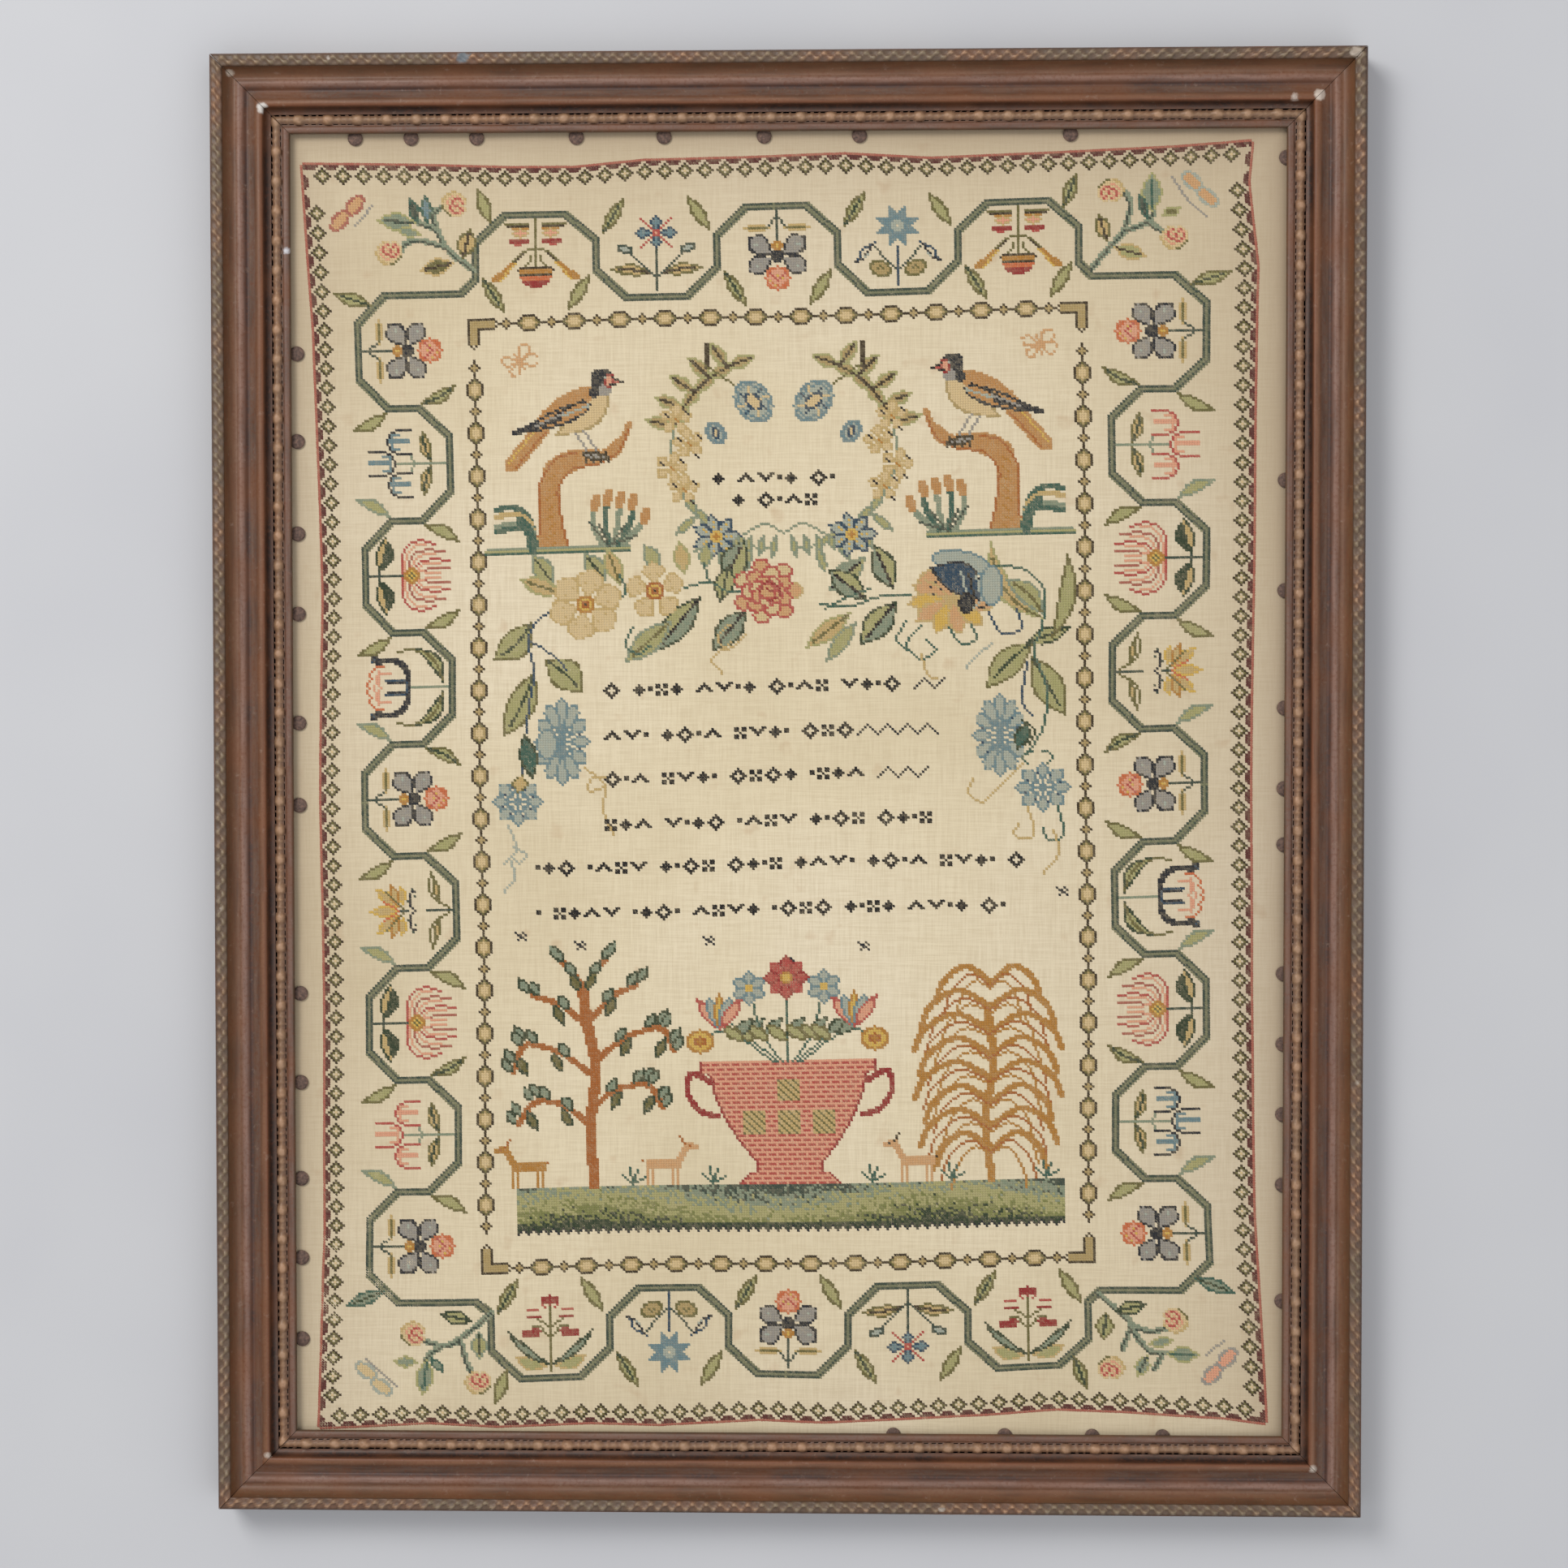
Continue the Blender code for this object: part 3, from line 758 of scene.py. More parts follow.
def pansyChart():
    # four outlined petals on a short stem, a small rose at the top and a slim leaf to each side
    c = blank(42)
    blob(c, 0, 30, 5, 5, "coral", "blush")
    stroke(c, [(-3, 28), (0, 31), (3, 28)], "rose", bend=False)
    stroke(c, [(-4, 31), (-1, 34), (2, 32), (4, 33)], "coral", bend=False)
    put(c, [0, 1, -2, 3], [29, 33, 30, 31], "honey")
    for x, y, tall in ((9, 13, 4.0), (9.5, 27, 3.8)):
        leaf(c, (1, 21), (x + 2, y), tall, "slate", "dove", widest=0.64, double=True)
    for x, y in ((8, 16), (9, 16), (8, 25)):
        put(c, [x, -x], [y, y], "mist")
    blob(c, 0, 21, 1.6, 2.6, None, "slate")
    blob(c, 0, 16.5, 2.1, 2.1, "gold", "honey")
    stroke(c, [(0, 2), (0, 14)], "teal")
    stroke(c, [(1, 5), (3, 8)], "teal", double=True)
    leaf(c, (3, 9), (13, 9), 1.5, "straw", "lime", vein="olive", double=True)
    return c


def tulipsChart(dark, light):
    # a three-pronged cup facing up and two that hang to the sides, with two long leaves
    c = blank(42)
    stroke(c, [(0, 2), (0, 23)], "sage")
    leaf(c, (1, 8), (13, 11), 2.3, "olive", "straw", vein="pine", bow=0.8, double=True)
    stroke(c, [(0, 15), (4, 16)], "sage", double=True)
    for x in (0, -9, 9):
        base = 23 if x == 0 else 26
        way = 1 if x == 0 else -1
        reach = 11 if x == 0 else 10
        stroke(c, [(x, base + 2 * way), (x, base + way * (reach - 1))], light, thick=2)
        stroke(c, [(x - 2, base + 2 * way), (x + 2, base + 2 * way)], light)
        for s in (-1, 1):
            stroke(c, [(x, base), (x + s * 3.4, base + way * 1.2), (x + s * 4.6, base + way * 5),
                       (x + s * 4.6, base + way * reach)], dark)
            stroke(c, [(x + s * 2.6, base + 2 * way), (x + s * 2.6, base + way * 5)], light)
    return c


def honeysuckleChart(green):
    # nested pairs of long curved petals over a gold base, two broad leaves below
    c = blank(42)
    stroke(c, [(0, 2), (0, 18)], "teal")
    stroke(c, [(-2, 6), (2, 6)], "teal")
    leaf(c, (2, 6), (16, 9), 3.6, "pine", "straw", vein="pine", bow=1.0, other=green, double=True)
    for k, (wide, low, high) in enumerate(((2.6, 22, 36), (6.6, 22, 36), (10.6, 20, 34), (14.6, 17, 30))):
        thread = "clay" if k % 2 == 0 else "rose"
        stroke(c, [(1, low - 1), (wide * 0.75, low), (wide, low + (high - low) * 0.45),
                   (wide * 0.98, high - 3),
                   (wide * 0.86 + 0.4, high)], thread, double=True)
        stroke(c, [(1, low), (wide * 0.62, low + 1.2), (wide - 1.4, low + (high - low) * 0.5),
                   (wide - 1.6, high - 4)], "blush", double=True)
    blob(c, 0, 20, 3.2, 3.2, "gold", "honey")
    put(c, [0, 0, 1, -1], [19, 21, 20, 20], "olive")
    return c


def cupChart():
    # one wide dark cup of three prongs with a pink scalloped crest, two long curved leaves
    c = blank(42)
    stroke(c, [(0, 2), (0, 18)], "sage")
    leaf(c, (2, 4), (16, 15), 2.4, "pine", "lime", vein="olive", bow=-2.8, double=True)
    stroke(c, [(15, 14), (16, 19), (15, 23)], "olive", double=True)
    stroke(c, [(0, 18), (6, 18.5), (10, 22), (11, 28), (10.4, 31), (12, 33)], "slate", thick=2, double=True)
    stroke(c, [(0, 19), (3, 20), (3, 28)], "indigo", double=True)
    stroke(c, [(2, 20), (2, 27)], "slate", double=True)
    put(c, [12, -12, 11, -11], [33, 33, 34, 34], "indigo")
    stroke(c, [(0, 35), (2, 36), (4, 34), (6, 35), (8, 33), (9, 31), (9, 29)], "coral", double=True)
    stroke(c, [(0, 30), (3, 31), (6, 30), (6, 26)], "blush", double=True)
    stroke(c, [(0, 33), (4, 32), (7, 31)], "blush", double=True)
    return c


def narcissusChart():
    # gold petals fanned over a dark bar, with thin arched leaves
    c = blank(42)
    stroke(c, [(0, 2), (0, 12)], "teal")
    stroke(c, [(1, 3), (4, 8), (10, 11), (16, 10)], "olive", double=True)
    leaf(c, (3, 7), (14, 9), 1.3, "olive", "straw", double=True)
    stroke(c, [(8, 17), (7, 19), (2, 19), (0, 17)], "slate", double=True)
    put(c, [6, -6, 4, -4, 9, -9], [17, 17, 20, 20, 18, 18], "teal")
    leaf(c, (3, 22), (10, 23), 1.8, "honey", "straw", double=True)
    leaf(c, (2, 24), (9, 33), 2.2, "honey", "straw", double=True)
    leaf(c, (0, 24), (0, 36), 2.2, "honey", "straw")
    leaf(c, (2, 24), (11, 27), 1.8, "gold", "straw", double=True)
    stroke(c, [(1, 22), (8, 29)], "olive", double=True)
    stroke(c, [(0, 20), (0, 24)], "teal")
    stroke(c, [(0, 24), (4, 30)], "coral", double=True)
    return c


def fuchsiaChart():
    # bars beside the stem, a thin cross stroke with tasselled arms, a banded cup at the end
    c = blank(42)
    stroke(c, [(0, 2), (0, 24)], "olive")
    stroke(c, [(3, 5), (11, 5)], "umber", double=True)
    stroke(c, [(3, 4), (12, 4)], "olive", double=True)
    stroke(c, [(3, 6), (9, 6)], "gold", double=True)
    blob(c, 6, 8, 3, 2, "straw", "blush", double=True)
    stroke(c, [(3, 11), (9, 11)], "brick", thick=2, double=True)
    stroke(c, [(6, 13), (8, 13)], "rose", double=True)
    stroke(c, [(0, 15), (5, 16), (9, 20)], "olive", double=True)
    stroke(c, [(5, 17), (10, 22), (12, 24)], "umber", double=True)
    stroke(c, [(9, 21), (13, 25), (16, 27)], "gold", thick=2, double=True)
    stroke(c, [(8, 21), (12, 26), (14, 28)], "honey", double=True)
    stroke(c, [(2, 18), (2, 21), (4, 22)], "olive", double=True)
    for row, half, thread in ((23, 6, "umber"), (24, 6, "gold"), (25, 6, "gold"), (26, 6, "umber"),
                              (27, 6, "coral"), (28, 5, "coral"), (29, 5, "brick"), (30, 4, "brick"),
                              (31, 2, "brick")):
        stroke(c, [(-half, row), (half, row)], thread)
    put(c, [-7, 7], [24, 24], "umber")
    return c


def crossFlowerChart():
    # four blue petals with red rays between them, two long leaves and two outlined loops on stems
    c = blank(42)
    stroke(c, [(0, 2), (0, 20)], "teal")
    leaf(c, (2, 9), (18, 11), 2.2, "olive", "straw", vein="umber", bow=0.6, double=True)
    stroke(c, [(1, 8), (10, 17)], "teal", double=True)
    blob(c, 12.5, 19.5, 3.6, 2.0, "teal", "mist", turn=25, double=True)
    for x, y in ((0, 33), (8, 26), (-8, 26), (0, 20)):
        leaf(c, (0, 26), (x, y), 1.8, "indigo", "sky", widest=0.65)
    for x, y in ((1, 1), (1, -1), (-1, 1), (-1, -1)):
        stroke(c, [(2 * x, 26 + 2 * y), (6 * x, 26 + 6 * y)], "rose")
    blob(c, 0, 26, 1.6, 1.6, "rose", "blush")
    return c


def starFlowerChart():
    # an eight-pointed star, two crescent buds on slanting stems and two round leaves
    c = blank(42)
    stroke(c, [(0, 2), (0, 18)], "indigo")
    stroke(c, [(1, 9), (10, 19)], "teal", double=True)
    stroke(c, [(9, 20), (14, 17), (16, 12)], "indigo", double=True)
    stroke(c, [(10, 19), (13, 14), (17, 12)], "slate", double=True)
    put(c, [12, 13, -12, -13], [15, 14, 15, 14], "mist")
    blob(c, 7, 9, 4.6, 3.4, "olive", "fawn", turn=20, double=True)
    put(c, [6, 7, 8, -6, -7, -8], [9, 10, 9, 9, 10, 9], "olive")
    for k in range(8):
        a = math.radians(45 * k + 22.5)
        leaf(c, (0, 27), (9 * math.cos(a), 27 + 9 * math.sin(a)), 1.7, "sky", "sky", widest=0.45)
    blob(c, 0, 27, 2.4, 2.4, None, "mist")
    put(c, [0], [27], None)
    return c


def carnationChart():
    # a stalk with short red bars, red lobes and two dark rising leaves over paler ones
    c = blank(42)
    stroke(c, [(0, 2), (0, 29)], "olive")
    leaf(c, (2, 4), (14, 8), 2.6, "straw", "lime", bow=-1, double=True)
    leaf(c, (1, 5), (17, 19), 1.5, "pine", "sage", bow=-1.5, double=True)
    for x, y, half, tall in ((0, 32, 3.6, 2.0), (8, 18, 3.6, 1.9), (6, 19, 2, 1.5)):
        blob(c, x, y, half, tall, "brick", "brick", double=True)
    stroke(c, [(4, 25), (9, 25)], "brick", double=True)
    stroke(c, [(5, 28), (9, 28)], "rose", double=True)
    stroke(c, [(1, 21), (5, 24)], "olive", double=True)
    stroke(c, [(1, 17), (4, 21), (7, 21)], "olive", double=True)
    put(c, [2, -2, 3, -3], [29, 29, 30, 30], "rose")
    return c


pansy, honeysuckle, cup, narcissus = pansyChart(), honeysuckleChart("pine"), cupChart(), narcissusChart()
blueTulips, redTulips = tulipsChart("slate", "sky"), tulipsChart("rose", "blush")
leftBays = [pansy, blueTulips, honeysuckle, cup, pansy, narcissus, honeysuckle, redTulips, pansy]
rightBays = [pansy, redTulips, honeysuckle, narcissus, pansy, cup, honeysuckle, blueTulips, pansy]
for k in range(9):
    y, outer = 188 - 47 * k, k % 2 == 0
    stamp(chart, leftBays[k], -169 if outer else -132, y, 3 if outer else 1)
    stamp(chart, rightBays[k], 169 if outer else 132, y, 1 if outer else 3, flip=True)
topBays = [fuchsiaChart(), crossFlowerChart(), pansy, starFlowerChart(), fuchsiaChart()]
bottomBays = [carnationChart(), starFlowerChart(), pansy, crossFlowerChart(), carnationChart()]
for k in range(5):
    x, arch = -96 + 48 * k, k % 2 == 0
    stamp(chart, topBays[k], x, 244 if arch else 208, 2 if arch else 0)
    stamp(chart, bottomBays[k], x, -244 if arch else -208, 0 if arch else 2)

# two leaves at each neck of the meander, in its hollow corners, and one outside each corner bend
for sign in (-1, 1):
    for k in range(8):
        y = 164 - 47 * k
        leaf(chart, (sign * 143, y + (2 if k % 2 == 0 else -2)), (sign * 129, y + (9 if k % 2 == 0 else -9)),
             2.4,
             "olive", "lime", vein="pine" if k % 3 == 0 else None, bow=sign * (1 if k % 2 == 0 else -1))
        leaf(chart, (sign * 158, y - (2 if k % 2 == 0 else -2)), (sign * 172, y - (9 if k % 2 == 0 else -9)),
             2.3,
             "sage" if k % 2 else "olive", "lime", bow=-sign * (1 if k % 2 == 0 else -1))
    for k in range(6):
        x = -120 + 48 * k
        side = 1 if k % 2 == 0 else -1
        root, tip = ((x - 3 * side, 235), (x - 11 * side, 249)) if 0 < k < 5 else ((x + 6 * side, 241),
                                                                                    (x + 1 * side, 255))
        leaf(chart, (root[0], sign * root[1]), (tip[0], sign * tip[1]), 2.4, "olive", "lime",
             vein="pine" if k % 2 else None)
        leaf(chart, (x + 3 * side, sign * 217), (x + 11 * side, sign * 203), 2.4, "olive", "lime",
             vein=None if k % 2 else "pine")
    leaf(chart, (sign * 163, 207), (sign * 178, 212), 2.6, "olive", "lime", vein="pine")
    leaf(chart, (sign * 163, -207), (sign * 178, -213), 2.6, "spruce", "sage", vein="pine")
print("borders charted")


roseHead = blank(8)
rows(roseHead, -5, 6, ("...hbb.bb..", "..bbcrbcrb.", ".hbrcbbrccb", ".bcrbcrbbrb", "hbbrcbrcbrb",
                       "hbcbrrcbrcb",
                       ".hbcbbrrcbo", ".hbbccbbbo.", "..hhbbbbo..", "...hhboo..."),
     {"h": "straw", "b": "cream", "c": "blush", "r": "rose", "o": "olive"})


def spray(stems, roses, leaves):
    # a branching stem with roses and leaves, all in cells of the big chart
    for points in stems:
        stroke(chart, points, "sage", thick=2)
        stroke(chart, points, "teal")
    for root, tip, half, edge, fill, vein in leaves:
        leaf(chart, root, tip, half, edge, fill, vein=vein)
    for x, y, turn in roses:
        stamp(chart, roseHead, x, y, turn)


spray([[(-121, 220), (-132, 230), (-137, 243), (-134, 247)],
       [(-132, 230), (-142, 233), (-148, 232), (-151, 228)],
       [(-137, 238), (-144, 241)]],
      [(-155, 227, 0), (-130, 249, 3)],
      [((-144, 241), (-159, 242), 3.4, "lime", "sage", "teal"),
       ((-143, 241), (-146, 251), 2.0, "spruce", "teal", None),
       ((-139, 241), (-140, 252), 2.2, "spruce", "sky", None),
       ((-142, 236), (-151, 238), 1.8, "lime", "sage", None),
       ((-125, 226), (-122, 238), 3.4, "olive", "straw", "umber"),
       ((-129, 224), (-142, 221), 3.2, "straw", "olive", "umber")])
spray([[(125, 214), (131, 222), (137, 229), (140, 240), (138, 246)], [(137, 229), (147, 233), (149, 238)],
       [(147, 233), (152, 229)]],
      [(133, 249, 2), (157, 225, 0)],
      [((149, 238), (149, 254), 3.8, "lime", "sage", "spruce"),
       ((147, 235), (144, 245), 1.8, "spruce", "teal", None),
       ((131, 226), (128, 237), 3.0, "olive", "straw", "umber"),
       ((134, 223), (146, 219), 3.2, "straw", "lime", "umber"),
       ((153, 236), (160, 239), 2.0, "lime", "olive", None)])
spray([[(-120, -217), (-133, -228), (-140, -231), (-148, -229)], [(-133, -228), (-131, -237), (-129, -242)],
       [(-140, -231), (-146, -236), (-147, -243)]],
      [(-153, -225, 3), (-126, -248, 0)],
      [((-128, -220), (-140, -217), 3.0, "pine", "lime", "pine"),
       ((-125, -225), (-125, -236), 3.0, "sage", "lime", "pine"),
       ((-150, -238), (-159, -237), 2.2, "lime", "sage", None),
       ((-146, -237), (-148, -252), 3.4, "lime", "sage", "spruce"),
       ((-144, -236), (-140, -242), 1.6, "spruce", "sage", None)])
spray([[(124, -214), (131, -221), (136, -227), (133, -238)], [(136, -227), (144, -230), (152, -228)],
       [(136, -228), (143, -238), (151, -239)], [(149, -239), (145, -246)]],
      [(156, -225, 1), (129, -244, 2)],
      [((151, -239), (163, -239), 3.2, "lime", "sage", "spruce"),
       ((143, -240), (139, -249), 2.6, "lime", "sage", "teal"),
       ((127, -222), (126, -233), 3.2, "olive", "lime", "pine"),
       ((131, -221), (143, -218), 3.0, "pine", "lime", "pine"),
       ((144, -235), (153, -233), 2.0, "lime", "sage", None)])


def butterfly(x, y, dark, light, turn, full=1.0):
    # two pairs of outlined wings about a short body
    c, n = math.cos(math.radians(turn)), math.sin(math.radians(turn))
    for a, b, tall in ((8 * full, 6 * full, 3.2), (9 * full, -4 * full, 3.4), (-8 * full, 5 * full, 2.6),
                       (-7 * full, -5 * full, 2.4)):
        leaf(chart, (x, y), (x + a * c - b * n, y + a * n + b * c), tall * full, dark, light, widest=0.64)
    stroke(chart, [(x + 4 * n, y - 4 * c), (x - 4 * n, y + 4 * c)], dark)


# at rest with wings closed: two lobes along one line, and a feeler beside them
for edge, fill, turn, lobes, feeler in (
        ("clay", "sand", 48, ((-168, 248), (-174, 242)), [(-168, 240), (-161, 248)]),
        ("mist", "sand", -45, ((165, 250), (171, 243)), [(157, 252), (163, 242), (170, 235)]),
        ("mist", "cream", -42, ((-170, -241), (-164, -248)), [(-170, -236), (-158, -248)]),
        ("dove", "blush", 47, ((168, -247), (174, -240)), [(166, -239), (173, -233)])):
    for x, y in lobes:
        blob(chart, x, y, 5.2, 3.0, edge, fill, turn=turn)
    stroke(chart, feeler, "dove")
butterfly(-103, 182, "sand", None, 30, 0.8)
butterfly(104, 183, "sand", None, 10, 0.8)


def birdChart():
    # a dark-headed bird on a curved stump, facing right, with low plants on a strip of ground
    c = blank(70)
    for level in range(-62, -29):   # the stump widens to its foot
        t = (-30 - level) / 32
        low, high = -8.3 + 2.5 * t * t - 4.0 - 3.0 * t * t, -8.3 + 2.5 * t * t + 4.0 + 3.0 * t * t
        span = np.arange(round(low), round(high) + 1)
        put(c, span, np.full_like(span, level), "tan")
        put(c, [low, high], [level, level], "rust")
    stroke(c, [(-8, -33), (-6, -25), (1, -20), (9, -19)], "tan", thick=7)
    stroke(c, [(9, -20), (16, -18), (20, -14)], "tan", thick=4)
    stroke(c, [(20, -15), (22, -11), (24, -6)], "tan", thick=2)
    stroke(c, [(-12, -36), (-11, -27), (-5, -19), (3, -17)], "rust")
    stroke(c, [(-5, -34), (-3, -28), (3, -23), (12, -22), (20, -17), (24, -8)], "rust")
    for k in range(9):
        stroke(c, [(-9 + k % 2, -60 + 4 * k), (-6, -58 + 4 * k)], "gold")
    stroke(c, [(-10, -6), (-23, -21)], "tan", thick=5)
    stroke(c, [(-12, -6), (-24, -20)], "honey")
    stroke(c, [(-9, -8), (-21, -22)], "rust")
    leaf(c, (16, 9), (-5, -9), 5.4, "fawn", "cream", bow=2.4, widest=0.42)
    leaf(c, (13, 10), (-15, -5), 3.9, "tan", "tan", bow=-0.6, widest=0.42)
    leaf(c, (9, 3), (-22, -8), 3.3, "slate", "tan", vein="mist", bow=0.4, widest=0.34)
    stroke(c, [(-4, -3), (-22, -8)], "slate", thick=2)
    stroke(c, [(6, 5), (-4, 0), (-10, -4)], "ink")
    stroke(c, [(-2, 0), (-13, -5)], "dove")
    blob(c, 13.6, 13.4, 4.5, 4.6, "slate", "slate")
    blob(c, 11.6, 9.5, 2.6, 4.0, "slate", "slate", turn=-25)
    blob(c, 15, 9, 2.4, 3.2, "dove", "dove", turn=-30)
    blob(c, 16.6, 12.6, 2.4, 3.0, "brick", "blush")
    put(c, [15], [14], "mist")
    stroke(c, [(18, 14), (22, 12)], "ink")
    stroke(c, [(17, 11), (22, 12)], "ink")
    stroke(c, [(18, 13), (20, 12)], "rose")
    stroke(c, [(3, -9), (8, -17)], "dove")
    stroke(c, [(6, -8), (12, -17)], "dove")
    blob(c, 10.5, -18.6, 5.4, 1.7, "umber", "dove", turn=-8)
    for x in (6, 9, 12, 15):
        stroke(c, [(x, -17), (x + 1, -21)], "umber")
    stroke(c, [(-33, -56), (24, -56)], "sage")
    stroke(c, [(-34, -57), (24, -57)], "lime")
    stroke(c, [(-34, -58), (24, -58)], "spruce")
    for x, y in ((10, -38), (15, -36), (20, -37), (25, -38), (30, -44)):
        stroke(c, [(9 + x * 0.4, -56), (x - 1, -47), (x, y)], "spruce" if x % 2 else "sage", thick=2)
        stroke(c, [(x, y - 2), (x + 1, y + 2)], "tan", thick=3)
    for x, y in ((8, -46), (12, -47), (22, -48), (27, -52)):
        stroke(c, [(16, -56), (x, y)], "teal")
    for lift, thread in ((0, "spruce"), (3, "straw"), (7, "sage"), (9, "spruce")):
        stroke(c, [(-14, -55), (-17, -44 - lift * 0.5), (-23, -39 - lift), (-30, -40 - lift)], thread,
               thick=2)
    stroke(c, [(-15, -56), (-17, -48), (-20, -44)], "spruce", thick=3)
    return c


def cutBelow(small, level):
    # clears everything under a level, so that a strip of ground ends clean
    small[:max(0, small.shape[0] // 2 + level)] = 0
    return small


bird = cutBelow(birdChart(), -58)
stamp(chart, bird, -84, 160)
stamp(chart, bird, 83, 163, flip=True)

# wreath: sprigs on an oval, opening at the top, with blue rosettes and yellow flower groups
for s in (-1, 1):
    arc = [(2 + s * 45 * math.sin(a), 142 - 41 * math.cos(a)) for a in np.linspace(0.1, 2.62, 14)]
    stroke(chart, arc, "sage")
    for k, (x, y) in enumerate(arc[1:], 1):
        a = 0.1 + k * 0.1885
        for out in (-1, 1):
            swing = a + 0.9 * out
            tip = (x + s * 12 * math.sin(swing + 0.9), y - 12 * math.cos(swing + 0.9))
            if k < 5:
                leaf(chart, (x, y), tip, 1.6, "sage", "lime")
            elif k > 8:
                leaf(chart, (x, y), tip, 2.5, "lime", "fawn", vein="umber")
    stroke(chart, [(2 + s * 31, 177), (2 + s * 31, 186)], "umber", thick=2)
    stroke(chart, [(2 + s * 20, 170), (2 + s * 31, 178)], "olive")
    for x, y, turn in ((2 + s * 12, 163, 55 * s), (2 + s * 27, 150, 60 * s)):
        size = 1.0 if y > 160 else 0.55
        blob(chart, x, y, 9.5 * size, 7.2 * size, "sky", "mist", turn=turn)
        blob(chart, x, y, 7.8 * size, 5.6 * size, "sky", None, turn=turn)
        blob(chart, x, y, 4.4 * size, 3.0 * size, "indigo", "cream", turn=turn)
        for k in range(8 if size == 1.0 else 0):
            a = math.radians(45 * k + 20)
            stroke(chart, [(x + 3.5 * math.cos(a), y + 3.5 * math.sin(a)),
                           (x + 6 * math.cos(a), y + 6 * math.sin(a))],
                   "indigo" if k % 2 else "cream")
    for x, y in ((43, 156), (38, 146), (45, 136), (40, 127)):
        for k in range(5):
            a = 2 * math.pi * (k + 0.2 * (x % 3)) / 5
            leaf(chart, (2 + s * x, y), (2 + s * x + 6.5 * math.cos(a), y + 6.5 * math.sin(a)), 2.0, "straw",
                 "cream",
                 widest=0.66)
        for dx, dy in ((0, 0), (4, 3), (-4, 2), (3, -5)):
            put(chart, [2 + s * x + dx, 2 + s * x + dx + 1], [y + dy, y + dy - 1], "ink" if dx else "gold")
    for k in range(7):
        a = 2 * math.pi * k / 7
        px, py = 2 + s * 27, 107
        leaf(chart, (px, py), (px + 10 * math.cos(a), py + 9 * math.sin(a)), 2.4, "indigo", "mist",
             widest=0.6)
        put(chart, [px + 4 * math.cos(a), px + 6 * math.cos(a)],
            [py + 4 * math.sin(a), py + 6 * math.sin(a)], "honey")
    blob(chart, px, py, 2.4, 2.4, "honey", "gold")
    stroke(chart, [(2, 108), (2 + s * 8, 112), (2 + s * 16, 108)], "sage")
    for k in range(4):
        x = 2 + s * (3 + 5 * k)
        leaf(chart, (x, 107), (x + s * 2, 98 + k), 1.4, "sage", "lime")

# garland of large flowers: leaves first, then stems, then flower heads over them
for root, tip, half, edge, fill, vein, bow in (
        ((-100, 73), (-115, 58), 4.6, "olive", "lime", "pine", 2),
                                               ((-94, 57), (-80, 44), 5.0, "olive", "lime", "pine", 1),
        ((-99, 52), (-111, 26), 4.4, "olive", "lime", "pine", 1),
                                               ((-91, 89), (-99, 101), 3.2, "sage", "lime", "pine", 0),
        ((-88, 85), (-104, 91), 2.8, "lime", "straw", "olive", 0),
                                               ((-70, 90), (-78, 101), 3.0, "sage", "lime", "pine", 0),
        ((-64, 88), (-69, 103), 2.6, "lime", "straw", "olive", 0),
                                               ((-48, 94), (-54, 104), 2.6, "sage", "lime", None, 0),
        ((-38, 92), (-40, 105), 2.4, "lime", "straw", None, 0),
                                               ((-30, 94), (-29, 104), 2.0, "sage", "lime", None, 0),
        ((-22, 88), (-14, 105), 4.2, "pine", "lime", "ink", 0),
                                               ((-32, 82), (-50, 60), 4.2, "pine", "lime", "ink", 0),
        ((-14, 76), (-27, 60), 4.0, "pine", "sage", "ink", 0),
                                               ((-44, 72), (-62, 56), 3.8, "sage", "lime", "olive", 0),
        ((-20, 95), (-24, 80), 3.0, "pine", "lime", "pine", 0),
                                               ((20, 84), (34, 97), 3.6, "sage", "lime", "ink", 0),
        ((34, 80), (20, 92), 3.8, "pine", "lime", "ink", 0),
                                               ((45, 84), (38, 102), 3.8, "pine", "lime", "ink", 0),
        ((46, 78), (32, 61), 4.2, "pine", "lime", "ink", 0),
                                               ((28, 74), (10, 60), 3.0, "lime", "straw", "olive", 0),
        ((30, 70), (18, 54), 2.4, "sage", "lime", None, 0),
                                               ((100, 60), (82, 42), 4.4, "olive", "lime", "pine", -1),
        ((100, 54), (113, 30), 4.8, "olive", "lime", "pine", 0),
                                               ((98, 60), (115, 66), 2.6, "pine", "lime", "pine", 0),
        ((104, 70), (84, 102), 2.8, "lime", "straw", "olive", 6),
                                               ((108, 62), (114, 96), 2.6, "olive", "lime", None, -3),
        ((104, 72), (90, 86), 3.2, "sage", "lime", "olive", -2)):
    leaf(chart, root, tip, half * 1.25, edge, fill, vein=vein, bow=bow,
         other="sage" if vein == "ink" else None)
